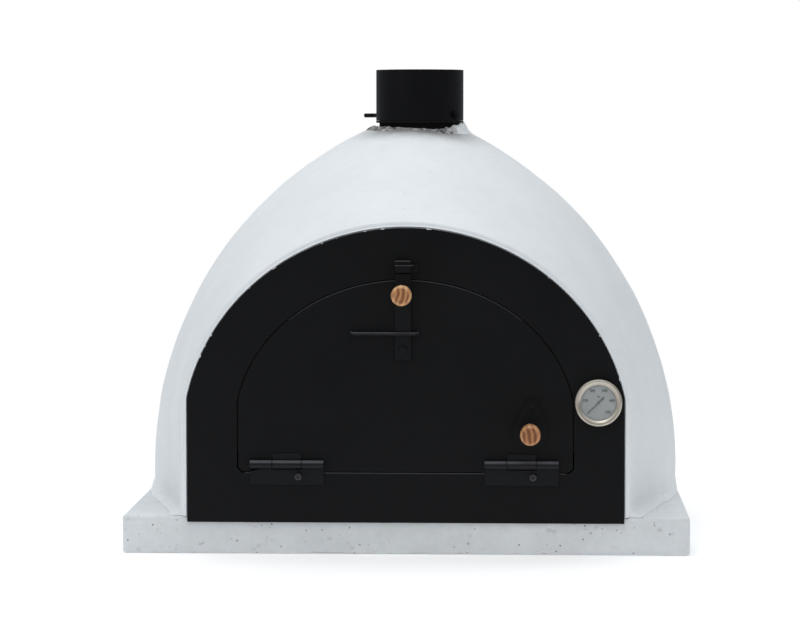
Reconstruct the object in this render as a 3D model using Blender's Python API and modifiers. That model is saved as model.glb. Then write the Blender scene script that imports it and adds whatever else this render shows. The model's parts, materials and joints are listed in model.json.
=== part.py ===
"""Wood fired pizza oven, modelled as an assembly of separate pieces.

Metres, +Z up. The origin is the centre of the base slab's underside and the
oven's mouth faces -Y. A moving piece hangs on an empty that lies on its axis.
"""
import math

import bmesh
import bpy
from mathutils import Vector

# ---- driving dimensions ----------------------------------------------------
GAP = 0.0003                  # clearance between pieces that touch
FIT = 0.001                   # clearance between hidden layers
FRONT_Y = -0.5                # front plane of slab and shell

SLAB_WIDTH = 1.0
SLAB_THICK = 0.066
SLAB_EDGE = 0.004
SHELL_FOOT = SLAB_THICK + GAP

# Dome: one arc turned about the Z axis, upright below the arc's centre.
DOME_ARC_R = 0.705
DOME_ARC_CENTRE_R = -0.2076
DOME_ARC_CENTRE_Z = 0.107
DOME_SEGMENTS = 48
CORE_SEGMENTS = 32            # hidden layers are coarser
DOME_RINGS = 8
SHELL_THICK = 0.025
BLANKET_OUTER = 0.028         # depths below the dome's outer surface
BLANKET_INNER = 0.069
BRICK_OUTER = 0.070
BRICK_INNER = 0.130

# Arch outlines: (half width, ellipse half width, ellipse height, ellipse centre z, foot z)
PLATE_ARCH = (0.384, 0.392, 0.374, 0.200, 0.056)
DOOR_ARCH = (0.2935, 0.298, 0.2576, 0.225, 0.146)
ARCH_STEPS = 20
SHELL_MARGIN = 0.010          # render showing round the face plate
PLATE_THICK = 0.004
PLATE_BACK = FRONT_Y - GAP
PLATE_FACE = PLATE_BACK - PLATE_THICK
DOOR_GAP = 0.0025
DOOR_CHAMFER = 0.008

# Hearth
BOARD_TOP = 0.098
TILE_TOP = 0.130
BOARD_R = 0.426
TILE_R = 0.364
TILE_HALF_MOUTH = 0.2945
TILE_FRONT = -0.490
TILE_JOINT = 0.002
TILE_ROWS = (TILE_FRONT, -0.205, 0.080, TILE_R + 0.01)

# Mouth
VAULT_OUTER = -0.022          # from the face plate's outline
VAULT_INNER = 0.006           # from the door's outline
VAULT_FRONT = -0.499
VAULT_BACK = -0.052           # the vault's crown ends inside the dome
FRAME_INNER = DOOR_GAP
FRAME_THICK = 0.002
FRAME_BACK = -0.455
LIP_INNER = -0.008
LIP_FOOT = 0.180

# Chimney and damper
FLUE_X = 0.009
TUBE_R = 0.083
TUBE_WALL = 0.0025
TUBE_FOOT = 0.762
TUBE_TOP = 0.858
THROAT_R = 0.077
THROAT_WALL = 0.0025
THROAT_FOOT = 0.600
THROAT_TOP = 0.7665
COLLAR_R = 0.099
DAMPER_Z = 0.772
DAMPER_DIR = Vector((0.809, -0.588, 0.0)).normalized()
SPINDLE_R = 0.004
DAMPER_R = 0.0725
DAMPER_THICK = 0.002
DAMPER_SCREW_AT = 0.035
SPINDLE_FRONT = 0.091
SPINDLE_BACK = 0.112

# Hinges
HINGE_X = (-0.2075, 0.204)
HINGE_Z = 0.159
HINGE_Y = PLATE_FACE - 0.008
HINGE_LENGTH = 0.130
KNUCKLE_R = 0.0075
KNUCKLE_BORE = 0.0043
PIN_R = 0.004
KNUCKLE_SPLIT = 0.026
LEAF_THICK = 0.003
LEAF_BACK = PLATE_FACE - GAP
LEAF_FOOT = 0.123
LEAF_TOP = 0.150
SCREW_Z = 0.138
SCREW_SHIFT = 0.020

# Latch
BAR_X = -0.0038
BAR_HALF = 0.01375
BAR_BACK = PLATE_FACE - 0.0008
BAR_THICK = 0.005
BAR_PIVOT_Z = 0.361
BAR_FOOT = 0.343
BAR_TOP = 0.494
BAR_KNOB_Z = 0.460
ROD_R = 0.003
ROD_Z = 0.389
ROD_LEFT = -0.094
ROD_RIGHT = 0.022
KEEPER_FOOT = 0.496
KEEPER_TOP = 0.517

# Draught cover
VENT_X = 0.219
VENT_Z = 0.2195
VENT_R = 0.022
COVER_R = 0.031
COVER_PIVOT_X = 0.222
COVER_PIVOT_Z = 0.265
COVER_PIVOT_R = 0.011
COVER_THICK = 0.003
COVER_BACK = PLATE_FACE - 0.0006

# Handles
HANDLE_TIP_Y = -0.5965
HANDLE_R = 0.0178
FERRULE_LENGTH = 0.012
FERRULE_R = 0.0105
STUD_R = 0.004
STUD_HOLE_R = 0.0045

# Thermometer
GAUGE_X = 0.338
GAUGE_Z = 0.2695
GAUGE_R = 0.0415
GAUGE_DEPTH = 0.014
GAUGE_STEM_R = 0.004
GAUGE_STEM_BACK = -0.410
POINTER_START = math.radians(135)   # from straight up, towards the left foot

X_AXIS = Vector((1, 0, 0))
Y_AXIS = Vector((0, 1, 0))
Z_AXIS = Vector((0, 0, 1))
TOWARDS_FRONT = Vector((0, -1, 0))


# ---- scene and materials ---------------------------------------------------
def clear_scene():
    for item in list(bpy.data.objects):
        bpy.data.objects.remove(item, do_unlink=True)


def new_collection(name):
    collection = bpy.data.collections.new(name)
    bpy.context.scene.collection.children.link(collection)
    return collection


clear_scene()
PARTS = new_collection("wood_fired_pizza_oven")
CUTTERS = new_collection("cutters")

FINISHES = {
    "render": ((0.76, 0.80, 0.82), 0.92, 0.0),
    "black_steel": ((0.012, 0.012, 0.014), 0.5, 0.6),
    "brick": ((0.55, 0.36, 0.24), 0.9, 0.0),
    "board": ((0.80, 0.78, 0.72), 0.95, 0.0),
    "mortar": ((0.35, 0.35, 0.34), 0.95, 0.0),
    "wood": ((0.22, 0.10, 0.05), 0.5, 0.0),
    "zinc": ((0.60, 0.61, 0.62), 0.35, 1.0),
    "bezel": ((0.62, 0.58, 0.50), 0.3, 1.0),
    "dial": ((0.72, 0.73, 0.72), 0.6, 0.0),
    "glass": ((0.90, 0.92, 0.92), 0.05, 0.0),
    "pointer": ((0.02, 0.02, 0.02), 0.5, 0.0),
}


def finish(obj, kind):
    """Give the object its own material."""
    colour, roughness, metallic = FINISHES[kind]
    material = bpy.data.materials.new(obj.name + "_material")
    material.use_nodes = True
    shader = material.node_tree.nodes["Principled BSDF"]
    shader.inputs["Base Color"].default_value = (*colour, 1.0)
    shader.inputs["Roughness"].default_value = roughness
    shader.inputs["Metallic"].default_value = metallic
    obj.data.materials.clear()
    obj.data.materials.append(material)


def pivot(name, place):
    empty = bpy.data.objects.new(name, None)
    empty.empty_display_size = 0.03
    empty.location = place
    PARTS.objects.link(empty)
    return empty


def hang(obj, empty):
    """Parent the object to a pivot and keep it where it is."""
    bpy.context.view_layer.update()
    world = obj.matrix_world.copy()
    obj.parent = empty
    obj.matrix_parent_inverse = empty.matrix_world.inverted()
    obj.matrix_world = world
    return obj


# ---- shapes ----------------------------------------------------------------
def from_bmesh(name, bm):
    mesh = bpy.data.meshes.new(name)
    bm.to_mesh(mesh)
    bm.free()
    obj = bpy.data.objects.new(name, mesh)
    PARTS.objects.link(obj)
    return obj


def block(name, low, high, edge=0.0):
    """A box between two corners, with rounded edges if edge is set."""
    low, high = Vector(low), Vector(high)
    bm = bmesh.new()
    bmesh.ops.create_cube(bm, size=1.0)
    bmesh.ops.scale(bm, vec=high - low, verts=bm.verts)
    obj = from_bmesh(name, bm)
    obj.location = (low + high) / 2
    if edge:
        bevel = obj.modifiers.new("edges", "BEVEL")
        bevel.width = edge
        bevel.segments = 2
    return obj


def rod(name, start, direction, length, radius, sides=20):
    """A round bar from start along direction."""
    bm = bmesh.new()
    bmesh.ops.create_cone(bm, cap_ends=True, segments=sides, radius1=radius, radius2=radius, depth=length)
    obj = from_bmesh(name, bm)
    obj.rotation_mode = "QUATERNION"
    obj.rotation_quaternion = direction.to_track_quat("Z", "Y")
    obj.location = Vector(start) + direction * (length / 2)
    smooth(obj)
    return obj


def turned(name, profile, place=(0, 0, 0), direction=Z_AXIS, steps=24):
    """A closed (radius, height) profile turned about the direction through place."""
    bm = bmesh.new()
    points = [bm.verts.new((r, 0.0, z)) for r, z in profile]
    closed = all(r > 0 for r, _ in profile)
    for a, b in zip(points, points[1:]):
        bm.edges.new((a, b))
    if closed:
        bm.edges.new((points[-1], points[0]))
    obj = from_bmesh(name, bm)
    obj.rotation_mode = "QUATERNION"
    obj.rotation_quaternion = direction.to_track_quat("Z", "Y")
    obj.location = place
    screw = obj.modifiers.new("turn", "SCREW")
    screw.steps = steps
    screw.render_steps = steps
    screw.use_merge_vertices = True
    screw.merge_threshold = 0.00005
    screw.use_smooth_shade = False
    return obj


def arch(shape, grow=0.0, foot=None, chamfer=0.0):
    """An arched door outline in X and Z, grown outwards by an offset."""
    half, ellipse_half, ellipse_height, centre_z, foot_z = shape
    half += grow
    a, b = ellipse_half + grow, ellipse_height + grow
    foot_z = foot_z - grow if foot is None else foot
    start = math.acos(half / a)
    points = [(-half + chamfer, foot_z), (half - chamfer, foot_z)]
    if chamfer:
        points = [(-half, foot_z + chamfer)] + points + [(half, foot_z + chamfer)]
    for step in range(ARCH_STEPS + 1):
        angle = start + (math.pi - 2 * start) * step / ARCH_STEPS
        points.append((a * math.cos(angle), centre_z + b * math.sin(angle)))
    return points


def circle(x, z, radius, sides=20):
    turn = 2 * math.pi / sides
    return [(x + radius * math.cos(turn * k), z + radius * math.sin(turn * k)) for k in range(sides)]


def flat(name, outlines, front, back):
    """Outlines in X and Z, filled between them, from front to back along Y."""
    curve = bpy.data.curves.new(name, "CURVE")
    curve.dimensions = "2D"
    curve.fill_mode = "BOTH"
    curve.extrude = (back - front) / 2
    for outline in outlines:
        spline = curve.splines.new("POLY")
        spline.points.add(len(outline) - 1)
        for point, (x, z) in zip(spline.points, outline):
            point.co = (x, z, 0.0, 1.0)
        spline.use_cyclic_u = True
    obj = bpy.data.objects.new(name, curve)
    obj.rotation_euler = (math.pi / 2, 0, 0)
    obj.location = (0, (front + back) / 2, 0)
    PARTS.objects.link(obj)
    return as_mesh(obj)


def wire(name, points, radius):
    """A round wire along straight runs, with flat ends."""
    curve = bpy.data.curves.new(name, "CURVE")
    curve.dimensions = "3D"
    curve.bevel_depth = radius
    curve.bevel_resolution = 3
    curve.use_fill_caps = True
    spline = curve.splines.new("POLY")
    spline.points.add(len(points) - 1)
    for point, place in zip(spline.points, points):
        point.co = (*place, 1.0)
    obj = bpy.data.objects.new(name, curve)
    PARTS.objects.link(obj)
    return as_mesh(obj)


def as_mesh(curve_obj):
    """Turn a curve object into a welded mesh object of the same name."""
    bpy.context.view_layer.update()
    evaluated = curve_obj.evaluated_get(bpy.context.evaluated_depsgraph_get())
    mesh = bpy.data.meshes.new_from_object(evaluated)
    name, world = curve_obj.name, curve_obj.matrix_world.copy()
    bpy.data.objects.remove(curve_obj, do_unlink=True)
    bm = bmesh.new()
    bm.from_mesh(mesh)
    bmesh.ops.remove_doubles(bm, verts=bm.verts, dist=0.00002)
    bmesh.ops.recalc_face_normals(bm, faces=bm.faces)
    bm.to_mesh(mesh)
    bm.free()
    obj = bpy.data.objects.new(name, mesh)
    obj.matrix_world = world
    PARTS.objects.link(obj)
    return obj


def smooth(obj):
    obj.data.shade_smooth()
    obj.data.set_sharp_from_angle(angle=math.radians(35))


def boolean(obj, other, operation):
    """Cut or join obj with another shape, which becomes a hidden guide."""
    modifier = obj.modifiers.new(operation.lower(), "BOOLEAN")
    modifier.operation = operation
    modifier.object = other
    modifier.solver = "EXACT"
    if other.name not in CUTTERS.objects:
        for collection in list(other.users_collection):
            collection.objects.unlink(other)
        CUTTERS.objects.link(other)
        other.hide_render = True
        other.display_type = "WIRE"
    return obj


def cut(obj, *cutters):
    for cutter in cutters:
        boolean(obj, cutter, "DIFFERENCE")
    return obj


def join(obj, *others):
    for other in others:
        boolean(obj, other, "UNION")
    return obj


# ---- dome surfaces ---------------------------------------------------------
def dome_profile(depth, foot):
    """Points down the dome's outer side, from the apex, at a depth below the surface."""
    arc_r = DOME_ARC_R - depth
    apex = math.acos(-DOME_ARC_CENTRE_R / arc_r)
    points = []
    for ring in range(DOME_RINGS + 1):
        angle = apex * (1 - ring / DOME_RINGS)
        radius = DOME_ARC_CENTRE_R + arc_r * math.cos(angle)
        points.append((max(radius, 0.0), DOME_ARC_CENTRE_Z + arc_r * math.sin(angle)))
    points.append((points[-1][0], foot))
    return points


def dome_solid(name, depth, foot):
    profile = dome_profile(depth, foot) + [(0.0, foot)]
    return turned(name, profile, steps=CORE_SEGMENTS)


def oven_body(name, depth, foot, front, segments=DOME_SEGMENTS):
    """The dome drawn forward into an arch: the hull of the dome and the front outline."""
    bm = bmesh.new()
    for radius, z in dome_profile(depth, foot):
        for k in range(segments if radius > 0 else 1):
            angle = 2 * math.pi * k / segments
            bm.verts.new((radius * math.cos(angle), radius * math.sin(angle), z))
    for x, z in arch(PLATE_ARCH, SHELL_MARGIN - depth, foot=foot):
        bm.verts.new((x, front, z))
    hull = bmesh.ops.convex_hull(bm, input=bm.verts)
    inner = {v for v in hull["geom_interior"] if isinstance(v, bmesh.types.BMVert)}
    bmesh.ops.delete(bm, geom=list(inner), context="VERTS")
    bmesh.ops.recalc_face_normals(bm, faces=bm.faces)
    return from_bmesh(name, bm)


def flue_cutter(name, radius):
    """A cutter whose flats, not its corners, are at the radius."""
    sides = 48
    return rod(name, (FLUE_X, 0, THROAT_FOOT - 0.1), Z_AXIS, 0.4, radius / math.cos(math.pi / sides), sides)


def mouth_cutter(name, grow, foot):
    return flat(name, [arch(PLATE_ARCH, VAULT_OUTER + grow, foot=foot)], FRONT_Y - 0.1, VAULT_BACK + FIT)


# ---- masonry ---------------------------------------------------------------
def base_slab():
    half = SLAB_WIDTH / 2
    obj = block("base_slab", (-half, FRONT_Y, 0), (half, FRONT_Y + SLAB_WIDTH, SLAB_THICK), SLAB_EDGE)
    finish(obj, "render")


def hearth():
    board = rod("hearth_insulation_board", (0, 0, SHELL_FOOT), Z_AXIS, BOARD_TOP - SHELL_FOOT, BOARD_R, 48)
    half = PLATE_ARCH[0] + VAULT_OUTER - FIT
    mouth = block("board_mouth", (-half, VAULT_FRONT, SHELL_FOOT), (half, 0, BOARD_TOP))
    finish(join(board, mouth), "board")
    number = 0
    for front, back in zip(TILE_ROWS, TILE_ROWS[1:]):
        for left, right in ((-TILE_R - 0.01, 0.0), (0.0, TILE_R + 0.01)):
            number += 1
            hearth_tile(number, left, right, front, back)


def hearth_tile(number, left, right, front, back):
    name = f"hearth_tile_{number}"
    joint = TILE_JOINT / 2
    foot = BOARD_TOP + GAP
    tile = rod(name, (0, 0, foot), Z_AXIS, TILE_TOP - foot, TILE_R, 48)
    if front < -0.3:
        half = TILE_HALF_MOUTH
        join(tile, block(name + "_mouth", (-half, TILE_FRONT, foot), (half, 0, TILE_TOP)))
    low = (left + joint, front + joint, foot - 0.01)
    high = (right - joint, back - joint, TILE_TOP + 0.01)
    boolean(tile, block(name + "_cell", low, high), "INTERSECT")
    finish(tile, "brick")


def brick_dome():
    foot = BOARD_TOP + GAP
    obj = dome_solid("brick_dome", BRICK_OUTER, foot)
    cut(
        obj,
        dome_solid("chamber", BRICK_INNER, foot - 0.02),
        mouth_cutter("dome_mouth", FIT, foot - 0.02),
        flue_cutter("dome_flue", THROAT_R + 0.0015),
    )
    finish(obj, "brick")


def mouth_vault():
    foot = BOARD_TOP + GAP
    outer = arch(PLATE_ARCH, VAULT_OUTER, foot=foot)
    obj = flat("mouth_vault", [outer], VAULT_FRONT, VAULT_BACK)
    tunnel = flat("tunnel", [arch(DOOR_ARCH, VAULT_INNER, foot=foot - 0.02)], FRONT_Y - 0.1, 0.0)
    stem = rod("stem_hole", (GAUGE_X, -0.6, GAUGE_Z), Y_AXIS, 0.6 + GAUGE_STEM_BACK + 0.01, 0.0055)
    cut(obj, tunnel, dome_solid("chamber_at_vault", BRICK_INNER, foot - 0.02), stem)
    for x, z in anchor_places():
        name = f"anchor_hole_{x:+.2f}_{z:.2f}"
        cut(obj, rod(name, (x, FRONT_Y - 0.05, z), Y_AXIS, 0.112, 0.006, 16))
    finish(obj, "brick")


def insulation_blanket():
    obj = oven_body("insulation_blanket", BLANKET_OUTER, SHELL_FOOT, VAULT_FRONT, CORE_SEGMENTS)
    cut(
        obj,
        dome_solid("brick_room", BLANKET_INNER, SHELL_FOOT - 0.02),
        mouth_cutter("vault_room", FIT, SHELL_FOOT - 0.02),
        flue_cutter("blanket_flue", THROAT_R + 0.002),
    )
    finish(obj, "board")


def render_shell():
    obj = oven_body("render_shell", 0.0, SHELL_FOOT, FRONT_Y)
    cut(
        obj,
        oven_body("shell_room", SHELL_THICK, SHELL_FOOT - 0.02, FRONT_Y - 0.02),
        flue_cutter("shell_flue", COLLAR_R + GAP),
    )
    finish(obj, "render")


# ---- front -----------------------------------------------------------------
def anchor_places():
    """Middle of the mouth vault's ring: low on each leg, and high on each haunch."""
    leg_x = (DOOR_ARCH[0] + VAULT_INNER + PLATE_ARCH[0] + VAULT_OUTER) / 2
    haunch = math.radians(55)
    a = (DOOR_ARCH[1] + PLATE_ARCH[1] + VAULT_INNER + VAULT_OUTER) / 2
    b = (DOOR_ARCH[2] + PLATE_ARCH[2] + VAULT_INNER + VAULT_OUTER) / 2
    centre_z = (DOOR_ARCH[3] + PLATE_ARCH[3]) / 2
    x, z = a * math.cos(haunch), centre_z + b * math.sin(haunch)
    return [(-leg_x, 0.115), (leg_x, 0.115), (-x, z), (x, z)]


def face_plate():
    outlines = [
        arch(PLATE_ARCH, foot=PLATE_ARCH[4]),
        arch(DOOR_ARCH, DOOR_GAP, chamfer=DOOR_CHAMFER),
        circle(GAUGE_X, GAUGE_Z, GAUGE_STEM_R + 0.0005),
        circle(keeper_screw_x(), KEEPER_FOOT + 0.008, 0.0028, 14),
    ]
    for hinge_x in HINGE_X:
        outlines.append(circle(hinge_x + SCREW_SHIFT, SCREW_Z, STUD_HOLE_R, 16))
    finish(flat("face_plate", outlines, PLATE_FACE, PLATE_BACK), "black_steel")
    for number, (x, z) in enumerate(anchor_places(), 1):
        start = (x, PLATE_BACK + GAP, z)
        anchor = rod(f"face_anchor_{number}", start, Y_AXIS, 0.055, 0.004, 12)
        finish(anchor, "zinc")


def door_frame():
    front = PLATE_BACK + GAP
    foot = TILE_TOP + 0.005
    outer = arch(DOOR_ARCH, FRAME_INNER + FRAME_THICK, foot=foot)
    obj = flat("door_frame", [outer], front, FRAME_BACK)
    inside = flat("frame_inside", [arch(DOOR_ARCH, FRAME_INNER, foot=foot - 0.05)], front - 0.05, FRAME_BACK + 0.05)
    lip_outline = arch(DOOR_ARCH, FRAME_INNER + FRAME_THICK / 2, foot=LIP_FOOT)
    lip = flat("frame_lip", [lip_outline], front + 0.0002, front + 0.0032)
    hole = flat("lip_hole", [arch(DOOR_ARCH, LIP_INNER, foot=foot - 0.05)], front - 0.05, FRAME_BACK + 0.05)
    join(cut(obj, inside), cut(lip, hole))
    finish(obj, "black_steel")


def hinge(side, centre_x, door_pivot):
    half = HINGE_LENGTH / 2
    leaf = block(
        f"hinge_leaf_{side}",
        (centre_x - half, LEAF_BACK - LEAF_THICK, LEAF_FOOT),
        (centre_x + half, LEAF_BACK, LEAF_TOP),
    )
    for x in (centre_x - half, centre_x + KNUCKLE_SPLIT):
        length = half - KNUCKLE_SPLIT
        tab = block(
            f"{side}_tab_{x:+.3f}",
            (x, LEAF_BACK - LEAF_THICK, LEAF_TOP - 0.004),
            (x + length, LEAF_BACK, HINGE_Z),
        )
        join(leaf, tab, rod(f"{side}_barrel_{x:+.3f}", (x, HINGE_Y, HINGE_Z), X_AXIS, length, KNUCKLE_R, 24))
    bore_start = (centre_x - half - 0.01, HINGE_Y, HINGE_Z)
    bore = rod(f"{side}_bore", bore_start, X_AXIS, HINGE_LENGTH + 0.02, KNUCKLE_BORE, 24)
    screw_x = centre_x + SCREW_SHIFT
    hole = rod(f"{side}_leaf_hole", (screw_x, PLATE_FACE - 0.03, SCREW_Z), Y_AXIS, 0.05, STUD_HOLE_R, 16)
    finish(cut(leaf, bore, hole), "black_steel")

    inner = KNUCKLE_SPLIT - 0.0008
    knuckle = rod(f"door_knuckle_{side}", (centre_x - inner, HINGE_Y, HINGE_Z), X_AXIS, 2 * inner, KNUCKLE_R, 24)
    strap = block(
        f"{side}_strap",
        (centre_x - inner, LEAF_BACK - LEAF_THICK, HINGE_Z - 0.002),
        (centre_x + inner, LEAF_BACK, HINGE_Z + 0.019),
    )
    cut(join(knuckle, strap), bore)
    finish(knuckle, "black_steel")
    hang(knuckle, door_pivot)

    finish(rod(f"hinge_pin_{side}", (centre_x - half - 0.001, HINGE_Y, HINGE_Z), X_AXIS, HINGE_LENGTH + 0.002, PIN_R),
           "black_steel")
    screw = socket_screw(f"hinge_screw_{side}", screw_x, LEAF_BACK - LEAF_THICK - GAP, SCREW_Z, 0.0065, 0.008, 0.004,
                         -0.4985)
    finish(screw, "zinc")


def socket_screw(name, x, seat_y, z, head_r, head_length, shank_r, end_y):
    """Cap screw driven along +Y: head in front of seat_y, shank behind it."""
    reach = end_y - seat_y
    socket_r, socket_depth = head_r * 0.5, head_length * 0.55
    profile = [
        (0.0, head_length - socket_depth),
        (socket_r, head_length - socket_depth),
        (socket_r, head_length),
        (head_r - 0.0006, head_length),
        (head_r, head_length - 0.0006),
        (head_r, 0.0),
        (shank_r, 0.0),
        (shank_r, -reach),
        (0.0, -reach),
    ]
    return turned(name, profile, (x, seat_y, z), TOWARDS_FRONT, 12)


def hex_bolt(name, x, seat_y, z, across, head_length, shank_r, end_y):
    """Hexagon head bolt driven along +Y."""
    head = rod(name, (x, seat_y, z), TOWARDS_FRONT, head_length, across / math.sqrt(3), 6)
    start = (x, seat_y - head_length / 2, z)
    shank = rod(name + "_shank", start, Y_AXIS, end_y - seat_y + head_length / 2, shank_r, 16)
    return join(head, shank)


def door(door_pivot):
    vent_hole = circle(VENT_X, VENT_Z, VENT_R, 24)
    panel = flat(
        "door_panel",
        [
            arch(DOOR_ARCH, chamfer=DOOR_CHAMFER - 0.001),
            vent_hole,
            circle(BAR_X, BAR_PIVOT_Z, STUD_HOLE_R, 16),
            circle(COVER_PIVOT_X, COVER_PIVOT_Z, 0.0035, 14),
        ],
        PLATE_FACE,
        PLATE_BACK,
    )
    finish(panel, "black_steel")
    foot = DOOR_ARCH[4] + 0.016
    tray = flat("door_tray", [arch(DOOR_ARCH, -0.0135, foot=foot)], PLATE_BACK + GAP, -0.4680)
    pocket = flat("tray_pocket", [arch(DOOR_ARCH, -0.0155, foot=foot + 0.002)], FRONT_Y - 0.05, -0.4695)
    vent_tool = rod("vent_tool", (VENT_X, -0.6, VENT_Z), Y_AXIS, 0.2, VENT_R, 24)
    finish(cut(tray, pocket, vent_tool), "black_steel")
    core_outlines = [arch(DOOR_ARCH, -0.0165, foot=foot + 0.003), vent_hole]
    core = flat("door_insulation", core_outlines, -0.4960, -0.4700)
    finish(core, "board")
    for piece in (panel, tray, core):
        hang(piece, door_pivot)


def handle(name, x, z, seat_y, hole_depth, pivot_empty):
    """Turned wooden handle with a steel ferrule, whose stud goes into the plate behind."""
    ferrule = turned(
        name + "_ferrule",
        [
            (0.0, FERRULE_LENGTH + 0.018),
            (STUD_R, FERRULE_LENGTH + 0.018),
            (STUD_R, FERRULE_LENGTH),
            (FERRULE_R, FERRULE_LENGTH),
            (FERRULE_R, FERRULE_LENGTH * 0.35),
            (FERRULE_R + 0.0035, FERRULE_LENGTH * 0.2),
            (FERRULE_R + 0.0035, 0.0),
            (STUD_R, 0.0),
            (STUD_R, -hole_depth),
            (0.0, -hole_depth),
        ],
        (x, seat_y - GAP, z),
        TOWARDS_FRONT,
        16,
    )
    finish(ferrule, "black_steel")
    foot_y = seat_y - 2 * GAP - FERRULE_LENGTH
    length = foot_y - HANDLE_TIP_Y
    profile = [(0.0, length)]
    for step in range(1, 5):
        angle = math.pi / 2 * step / 4
        tip_r, tip_length = 0.012, 0.010
        radius = HANDLE_R - tip_r + tip_r * math.sin(angle)
        profile.append((radius, length - tip_length * (1 - math.cos(angle))))
    for share, radius in ((0.55, 0.0172), (0.25, 0.0150), (0.10, 0.0132), (0.0, 0.0122)):
        profile.append((radius, length * share))
    profile += [(STUD_HOLE_R, 0.0), (STUD_HOLE_R, 0.020), (0.0, 0.020)]
    grip = turned(name, profile, (x, foot_y, z), TOWARDS_FRONT, 20)
    finish(grip, "wood")
    for piece in (ferrule, grip):
        hang(piece, pivot_empty)


def latch(door_pivot):
    bar_front = BAR_BACK - BAR_THICK
    swing = pivot("latch_pivot", (BAR_X, bar_front, BAR_PIVOT_Z))
    corners = [
        (BAR_X - BAR_HALF, BAR_FOOT), (BAR_X + BAR_HALF, BAR_FOOT),
        (BAR_X + BAR_HALF, BAR_TOP), (BAR_X - BAR_HALF, BAR_TOP),
    ]
    outlines = [
        corners,
        circle(BAR_X, BAR_PIVOT_Z, STUD_HOLE_R, 16),
        circle(BAR_X, BAR_KNOB_Z, STUD_HOLE_R, 16),
    ]
    bar = flat("latch_bar", outlines, bar_front, BAR_BACK)
    finish(bar, "black_steel")
    hang(bar, swing)
    handle("latch_handle", BAR_X, BAR_KNOB_Z, bar_front, BAR_THICK - 0.0005, swing)
    hang(swing, door_pivot)

    bolt = hex_bolt("latch_bolt", BAR_X, bar_front - GAP, BAR_PIVOT_Z, 0.013, 0.0055, 0.004, PLATE_BACK - 0.0005)
    finish(bolt, "black_steel")
    rod_y = bar_front - 0.0006 - ROD_R
    bend = 0.004
    ends_y = PLATE_FACE - GAP
    route = [
        (ROD_LEFT, ends_y, ROD_Z), (ROD_LEFT, rod_y + bend, ROD_Z),
        (ROD_LEFT + bend * 0.3, rod_y + bend * 0.3, ROD_Z), (ROD_LEFT + bend, rod_y, ROD_Z),
        (ROD_RIGHT - bend, rod_y, ROD_Z), (ROD_RIGHT - bend * 0.3, rod_y + bend * 0.3, ROD_Z),
        (ROD_RIGHT, rod_y + bend, ROD_Z), (ROD_RIGHT, ends_y, ROD_Z),
    ]
    guide = wire("latch_guide_rod", route, ROD_R)
    finish(guide, "black_steel")
    hang(bolt, door_pivot)
    hang(guide, door_pivot)


def keeper_screw_x():
    return BAR_X + BAR_HALF + 0.0065


def latch_keeper():
    left, right = BAR_X - BAR_HALF, BAR_X + BAR_HALF
    keeper = block("latch_keeper", (left, PLATE_FACE - 0.011, KEEPER_FOOT), (right, PLATE_FACE - GAP, KEEPER_TOP))
    tab = block("keeper_tab", (right - 0.002, PLATE_FACE - 0.0035, KEEPER_FOOT + 0.001),
                (right + 0.013, PLATE_FACE - GAP, KEEPER_FOOT + 0.015))
    screw_z = KEEPER_FOOT + 0.008
    hole = rod("keeper_hole", (keeper_screw_x(), PLATE_FACE - 0.02, screw_z), Y_AXIS, 0.03, 0.0028, 14)
    finish(cut(join(keeper, tab), hole), "black_steel")
    seat_y = PLATE_FACE - 0.0035 - GAP
    screw = socket_screw("keeper_screw", keeper_screw_x(), seat_y, screw_z, 0.0042, 0.0045, 0.0025, -0.4998)
    finish(screw, "black_steel")


def draught_cover(door_pivot):
    swing = pivot("draught_pivot", (COVER_PIVOT_X, COVER_BACK, COVER_PIVOT_Z))
    front = COVER_BACK - COVER_THICK
    cover = flat("draught_cover", [cover_outline(), circle(VENT_X, VENT_Z, STUD_HOLE_R, 16),
                                   circle(COVER_PIVOT_X, COVER_PIVOT_Z, 0.0035, 14)], front, COVER_BACK)
    finish(cover, "black_steel")
    hang(cover, swing)
    handle("draught_handle", VENT_X, VENT_Z, front, COVER_THICK - 0.0005, swing)
    hang(swing, door_pivot)
    screw = socket_screw("draught_screw", COVER_PIVOT_X, front - GAP, COVER_PIVOT_Z, 0.0050, 0.0040, 0.0030,
                         PLATE_BACK - 0.0005)
    finish(screw, "black_steel")
    hang(screw, door_pivot)


def cover_outline():
    """A drop: the outer tangents of a large circle round the vent and a small one round the screw."""
    across = Vector((COVER_PIVOT_X - VENT_X, COVER_PIVOT_Z - VENT_Z))
    heading = math.atan2(across.y, across.x)
    lean = math.acos((COVER_R - COVER_PIVOT_R) / across.length)
    points = []
    for step in range(9):
        angle = heading - lean + 2 * lean * step / 8
        points.append((COVER_PIVOT_X + COVER_PIVOT_R * math.cos(angle),
                       COVER_PIVOT_Z + COVER_PIVOT_R * math.sin(angle)))
    for step in range(25):
        angle = heading + lean + (2 * math.pi - 2 * lean) * step / 24
        points.append((VENT_X + COVER_R * math.cos(angle), VENT_Z + COVER_R * math.sin(angle)))
    return points


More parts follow.
